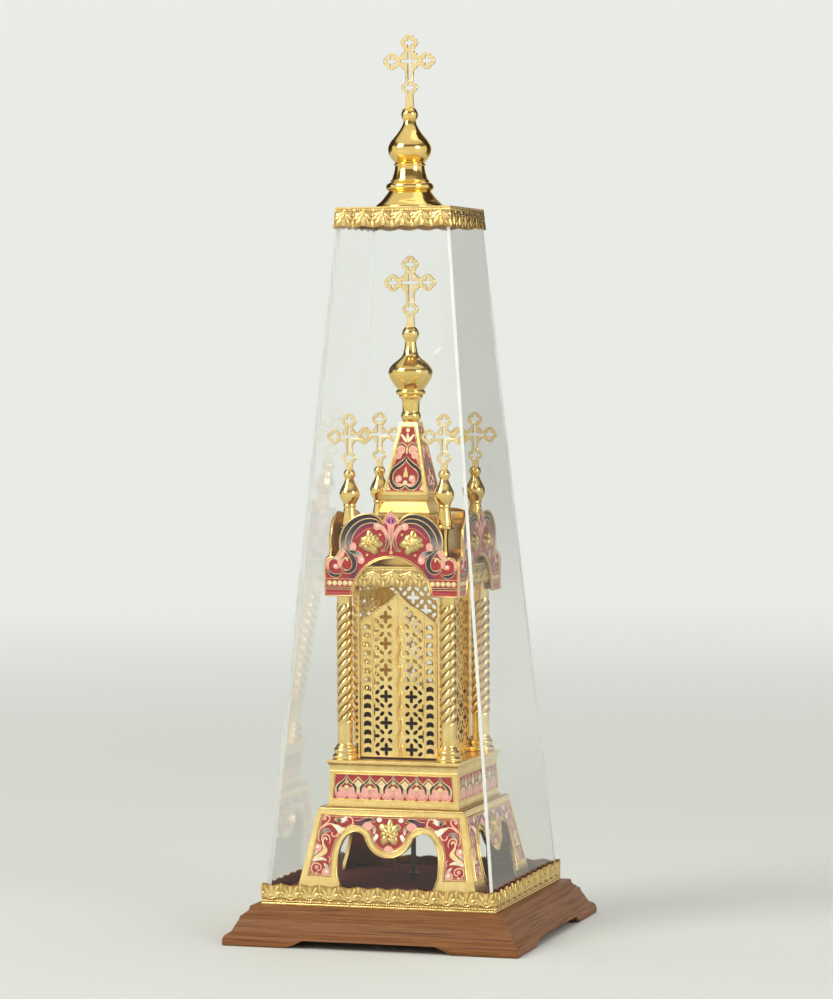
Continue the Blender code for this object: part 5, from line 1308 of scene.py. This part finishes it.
heart = np.array([(0, 33.6), (2.0, 29.2), (6.6, 25.2), (11.8, 21.2), (14.4, 16.0), (13.6, 9.2), (9.6, 4.2),
                  (4.8, 3.4), (0.4, 6.4)])
spire_painting = framed(face_edge - (0, FACE_FOOT), 0.5, 0.35, GOLD_LINE) + mirrored(
    stroke(heart, [1.0, 3.6, 4.2, 4.4, 4.4, 4.4, 4.2, 3.6, 2.0], GOLD_LINE)
    + stroke(heart, [0.5, 2.5, 3.1, 3.3, 3.3, 3.3, 3.0, 2.4, 0.9], BLACK)
    + lined([(0.6, 7.6), (4.2, 6.4), (8.0, 7.8), (9.6, 11.4)], [0.6, 1.6, 1.9, 1.0], CREAM, PINK, PINK,
            line=0.3)
    + ringed(6.6, 12.4, 3.1, PINK) + disc(6.0, 12.9, 1.0, WHITE)
    + stroke([(9.4, 12.2), (10.0, 9.2), (7.6, 7.4)], [0.5, 1.2, 0.4], BLUSH)
    + stroke([(0.3, 35.5), (0.5, 40.5), (1.2, 45.4)], [0.5, 0.9, 0.4], GOLD_LINE)
    + stroke([(1.4, 43.4), (4.4, 46.2), (8.4, 44.6), (9.8, 40.6)], [0.4, 1.5, 1.5, 0.3], GOLD_LINE, BLACK)
    + ringed(5.9, 39.4, 4.2, PINK, rim=0.6) + scroll(5.7, 39.5, 0.4, 2.4, 1.2, [0.6, 0.5], BLUSH, CREAM)
    + ringed(8.4, 34.0, 3.6, PINK, 3.0, rim=0.6)
    + lined([(9.8, 33.0), (12.0, 29.4), (11.6, 25.6)], [1.6, 2.4, 0.3], PINK, BLUSH, line=0.3)
    + stroke([(13.8, 29.6), (14.6, 25.0), (14.2, 21.6)], [0.3, 1.4, 0.3], BLACK)
    + lined([(1.0, 46.6), (3.2, 50.2), (6.2, 53.8)], [0.6, 2.2, 1.0], CREAM, WHITE, line=0.35)
    + [(np.array([(18.6, 1.6), (14.2, 1.6), (17.4, 8.2)]), GOLD_LINE),
       (np.array([(17.8, 2.4), (15.8, 2.4), (17.2, 5.8)]), CREAM)]
) + [
    (np.array([(-2.6, 13.8), (2.6, 13.8), (1.6, 16.2), (2.3, 16.6), (0.9, 20.0), (1.3, 20.4), (0, 24.0),
               (-1.3, 20.4), (-0.9, 20.0), (-2.3, 16.6), (-1.6, 16.2)]), tone(240, 214, 130)),
] + disc(0, 8.6, 2.1, CREAM) + lined([(0, 46.8), (0, 50.6), (0, 55.2)], [0.5, 2.4, 0.8], GOLD_LINE, CREAM,
                                     line=0.35) + disc(0, 58.0, 2.0, GOLD_LINE) + disc(0, 58.2, 1.1, CREAM)
spire_painting = [(shape + (0, FACE_FOOT), paint) for shape, paint in spire_painting]
for side, where in enumerate(SIDES):
    name, place = f"spire_plaque_{where}_enamel", on_side(side, spire_half)
    plaque = cut_plate(name, [face_edge], ENAMEL_BACK, ENAMEL_FACE, place, enamel, spire_painting, RED)
    settle(plaque, BODY, "red_enamel", f"spire_plaque_{where}")


# The finial: brass turned to a baluster, a disc, an onion and a ball in one piece, polished and gilded.
# A cross sawn from thick sheet stands in the ball.
turned_gilt = gilt("turned_gilt", (0.97, 0.71, 0.25), (0.91, 0.62, 0.18), 0.10, 0.04, 30)


def ball_profile(radius, centre_z, foot, head, count=14):
    """A circle's arc from the radius where it meets the neck below to the radius where it is cut."""
    low, high = -math.degrees(math.acos(foot / radius)), math.degrees(math.acos(head / radius))
    return arc((0, centre_z), (radius, radius), low, high, count)


finial_profile = np.vstack([
    [(0, 484.6), (7.6, 484.6)],
    smooth_run([(7.8, 484.8), (9.3, 487.4), (9.6, 490.2), (8.9, 492.9)], 4), [(8.3, 493.6), (8.2, 494.5)],
    smooth_run([(8.2, 494.8), (8.3, 499.0), (9.0, 504.4), (10.4, 507.2)], 4),
    [(11.4, 507.6), (11.5, 508.6), (11.0, 509.2)],
    smooth_run([(11.6, 509.6), (13.6, 510.6), (14.3, 512.6), (13.6, 514.4)], 4), [(12.9, 515.0), (13.1, 515.8)],
    smooth_run([(13.4, 516.2), (15.9, 519.4), (18.8, 524.0), (21.0, 529.0), (21.0, 533.4), (18.4, 538.0),
                (13.4, 542.4),
                (9.2, 545.8), (7.2, 549.2), (6.0, 554.4), (5.1, 560.0)], 5),
    [(5.6, 560.6)], ball_profile(8.1, 567.8, 5.2, 4.2)[1:], [(0, 574.7)],
])
settle(skin("turned_finial", [turned(finial_profile)], turned_gilt, sharp=40), BODY, "gilt_brass",
       "main_finial")


def cross_edge(reach, lobe, bar, block, knop, foot):
    """Edge of a cross, right half from the foot up: a stem, a knop of two lobes, square shoulders round
    the crossing, and at each arm's end three round lobes about a middle."""
    def lobes(turn):
        spread = arc((0, 0), (1, 1), -128, 128, 33)
        angle = np.radians(np.linspace(-128, 128, 33))
        radius = lobe * (0.80 + 0.20 * np.abs(np.cos(2 * angle)) ** 0.8)
        points = spread * radius[:, None] + (reach - lobe, 0)
        c, s = math.cos(turn), math.sin(turn)
        return points @ np.array([[c, s], [-s, c]])
    corner = [(block + 1.8, bar), (block + 1.2, bar + 1.0), (block - 0.4, bar + 1.0),
              (block - 0.4, block - 0.4),
              (bar + 1.0, block - 0.4), (bar + 1.0, block + 1.2), (bar, block + 1.8)]
    angle = np.radians(np.linspace(-62, 62, 13))
    knob = np.stack([0.98 * lobe * (0.80 + 0.20 * np.abs(np.cos(2 * angle))) * np.cos(angle),
                     -knop + 0.92 * lobe * (0.80 + 0.20 * np.abs(np.cos(2 * angle))) * np.sin(angle)], axis=-1)
    right = np.vstack([[(bar, -foot)], knob, np.array(corner[::-1]) * (1, -1), lobes(0), corner])
    top = lobes(math.pi / 2)
    return np.vstack([right, top, (right * (-1, 1))[::-1]])


def cross_holes(reach, lobe, knop, slot_half, slot_up, slot_down, slot, petal_reach):
    """Holes of a cross: a tall cross-shaped slot, and four petals in each end and in the knop."""
    right = [(slot, -slot_down), (slot, -slot), (slot_half, -slot), (slot_half, slot), (slot, slot),
             (slot, slot_up)]
    tall = np.array(right + [(-x, y) for x, y in reversed(right)])
    middle = reach - lobe
    ends = [(middle, 0), (-middle, 0), (0, middle), (0, -knop)]
    return [tall] + [petal_cross(x, y, petal_reach, 1.9, 20) for x, y in ends]


def cross_piece(name, node, edge, holes, centre, thick, material):
    """A cross standing upright, facing the front, with a fine chamfer round every edge."""
    loops = [loop + (centre[0], centre[2]) for loop in [edge, *holes]]

    def to_space(points, depth):
        return np.column_stack([points[:, 0], np.full(len(points), centre[1] - depth), points[:, 1]])

    cross = cut_plate(name, loops, -thick / 2, thick / 2, to_space, material)
    chamfer = cross.modifiers.new("chamfer", "BEVEL")
    chamfer.width = 0.0004
    chamfer.segments = 1
    chamfer.limit_method = "ANGLE"
    chamfer.angle_limit = math.radians(50)
    return settle(cross, BODY, "gilt_brass", node)


large_edge = cross_edge(25.4, 8.1, 4.2, 7.8, 25.2, 43.8)
large_holes = cross_holes(25.4, 8.1, 25.2, 8.6, 8.4, 18.4, 1.45, 5.6)
cross_gilt = gilt("cross_gilt", (1.0, 0.81, 0.43), (0.96, 0.72, 0.33), 0.26, 0.12, 60)
short_edge = large_edge.copy()
short_edge[:, 1] = np.maximum(short_edge[:, 1], -41.3)
cross_piece("shrine_cross", "main_cross", short_edge, large_holes, (0, 0, 616.3), 3.6, cross_gilt)


# The pinnacles: four turned brass balusters with a bell, a bulb and a ball, screwed to the entablature
# at the corners of the attic, each with a small sawn cross.
PINNACLE_PLACE = 46.6
pinnacle_profile = np.vstack([
    [(0, 350.3), (5.9, 350.3), (5.9, 357.6)],
    smooth_run([(5.7, 358), (4.5, 360.6), (3.9, 364), (3.5, 372.6), (3.8, 379), (4.6, 384.2)], 4),
    [(8.6, 384.9)], smooth_run([(8.8, 385.0), (9.4, 386.2), (8.6, 387.4)], 3),
    smooth_run([(7.9, 388.2), (7.5, 392), (6.5, 398), (5.4, 403.6), (5.2, 404.6)], 4),
    [(5.9, 405.2), (6.1, 406.1), (5.7, 407.0)],
    smooth_run([(5.6, 407.6), (7.6, 411.0), (9.3, 415.0), (9.3, 419.0), (7.6, 423.4), (5.4, 427.6),
                (4.0, 431.2)], 4),
    ball_profile(5.6, 435.9, 3.9, 3.4, 11)[1:], [(0, 440.3)],
])
small_edge = cross_edge(21.8, 7.2, 3.1, 6.2, 20.0, 30.6)
small_holes = cross_holes(21.8, 7.2, 20.0, 9.4, 9.4, 13.6, 1.5, 5.2)
for where, sx, sy in CORNERS:
    centre = (sx * PINNACLE_PLACE, sy * PINNACLE_PLACE)
    pinnacle = skin(f"turned_pinnacle_{where}", [turned(pinnacle_profile, centre, 48)], turned_gilt, sharp=40)
    settle(pinnacle, BODY, "gilt_brass", f"pinnacle_{where}")
    cross_piece(f"small_cross_{where}", f"pinnacle_cross_{where}", small_edge, small_holes, (*centre, 471.2),
                2.8, cross_gilt)


# The glass cover: four panes of clear float glass, 4 mm thick, ground to a mitre and bonded with clear
# adhesive at their edges, standing on the board inside the gallery.
clear_glass, tree, shader = new_material(
    "clear_glass", base_color=(0.975, 0.985, 0.97, 1), roughness=0.0, ior=1.33, transmission_weight=1.0)
let_through = wire(tree, "ShaderNodeBsdfTransparent", inputs={"Color": (0.95, 0.97, 0.96, 1)})
ray = wire(tree, "ShaderNodeLightPath")
choose = wire(tree, "ShaderNodeMixShader", inputs={"Fac": ray.outputs["Is Shadow Ray"]})
tree.links.new(shader.outputs["BSDF"], choose.inputs[1])
tree.links.new(let_through.outputs["BSDF"], choose.inputs[2])
tree.links.new(choose.outputs["Shader"], tree.nodes["Material Output"].inputs["Surface"])

# The panes' mitred edge faces: an opaque streaky grey with a faint glow, painted light that stands for the
# light seen in glass edges.
painted_glass_edge, tree, shader = new_material("painted_glass_edge", roughness=0.45, specular_ior_level=0.2)
place = wire(tree, "ShaderNodeTexCoord")
streaks = wire(tree, "ShaderNodeVectorMath", {"operation": "MULTIPLY"},
               {0: place.outputs["Object"], 1: (900, 900, 30)})
cloud = wire(tree, "ShaderNodeTexNoise", {"noise_dimensions": "3D"},
             {"Vector": streaks.outputs["Vector"], "Scale": 1.0})
tint = ramp(tree, cloud.outputs["Fac"], [(0.35, (0.62, 0.64, 0.60)), (0.65, (0.78, 0.80, 0.75))])
tree.links.new(tint, shader.inputs["Base Color"])
shader.inputs["Emission Color"].default_value = (0.9, 0.92, 0.88, 1)
shader.inputs["Emission Strength"].default_value = 0.12


GLASS_FOOT, GLASS_FOOT_HALF, GLASS_LEAN = 35.8, 111.9, 0.088654


def glass_half(z):
    """Half width over the glass, which falls evenly with the height."""
    return GLASS_FOOT_HALF - GLASS_LEAN * (z - GLASS_FOOT)


GLASS_THICK = 4.0
GLASS_GAP = 0.06
CAP_FOOT, CAP_TOP = 683.3, 686.7
glass_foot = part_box("glass_pane_front")[0][2] * 1000
for where, turn in zip(SIDES, QUARTERS):
    ring = []
    for depth in (GLASS_GAP, GLASS_THICK):
        for z in (glass_foot, CAP_FOOT - GLASS_GAP):
            half = glass_half(z) - depth
            ring += [(-half + GLASS_GAP, -half, z), (half - GLASS_GAP, -half, z)]
    pane = put_mesh(f"pane_{where}", np.array(ring) @ turn.T,
                    [(0, 1, 3, 2), (4, 6, 7, 5), (0, 4, 5, 1), (2, 3, 7, 6), (0, 2, 6, 4), (1, 5, 7, 3)],
                    clear_glass)
    pane.data.shade_flat()
    pane.data.materials.append(painted_glass_edge)
    pane.data.polygons.foreach_set("material_index", [0, 0, 1, 1, 1, 1])
    settle(pane, BODY, "glass", f"glass_pane_{where}")


# The cover's head: a gilt plate closes the glass, a stamped strip is bent round its edge, and a turned
# dome with an onion and a ball is screwed on, with a sawn cross in the ball.
cap_half = glass_half(CAP_FOOT)
cap_profile = [(0, CAP_FOOT), (cap_half, CAP_FOOT), (cap_half, CAP_TOP - 0.8), (cap_half - 0.8, CAP_TOP),
               (0, CAP_TOP)]
settle(skin("cap", moulding(cap_profile), sheet_gilt), BODY, "gilt_brass", "cap_plate")
stamped_strip("stamped_border", "cap_border", 6, lambda z: glass_half(z)
              + 1.7, CAP_TOP, CAP_TOP - STRIP_HEIGHT, stamped_gilt)

dome_profile = np.vstack([
    [(0, 0), (32.4, 0), (32.8, 0.4)],
    smooth_run([(32.8, 1.5), (31.9, 2.9), (29.9, 4.9), (26.5, 8), (23.2, 12), (20.6, 15.3)], 5),
    [(20.3, 15.8)], smooth_run([(20.6, 16.2), (22.2, 17.6), (22.7, 19.9), (22.2, 22.2), (20.8, 23.5)], 4),
    [(20.2, 23.9), (18.6, 24.3)],
    smooth_run([(18.3, 24.6), (18.8, 25.4), (18.4, 26.4)], 3),
    smooth_run([(17.3, 27.0), (15.9, 31), (14.6, 36), (14.2, 39.6)], 4),
    [(15.2, 40.2), (15.4, 41.2), (14.6, 42.0)],
    smooth_run([(14.2, 42.7), (17.0, 46), (19.5, 50), (20.7, 54.8), (20.1, 59), (17.9, 63.2), (14.7, 67),
                (11.6, 70.8), (8.9, 74.8), (6.7, 79), (5.8, 82.4)], 5),
    ball_profile(8.0, 88.1, 5.6, 4.4)[1:], [(0, 94.8)],
]) + (0, 687.0)
settle(skin("turned_dome", [turned(dome_profile)], turned_gilt, sharp=40), BODY, "gilt_brass", "cover_dome")
cross_piece("top_cross", "cover_cross", large_edge, large_holes, (0, 0, 825.9), 3.6, cross_gilt)
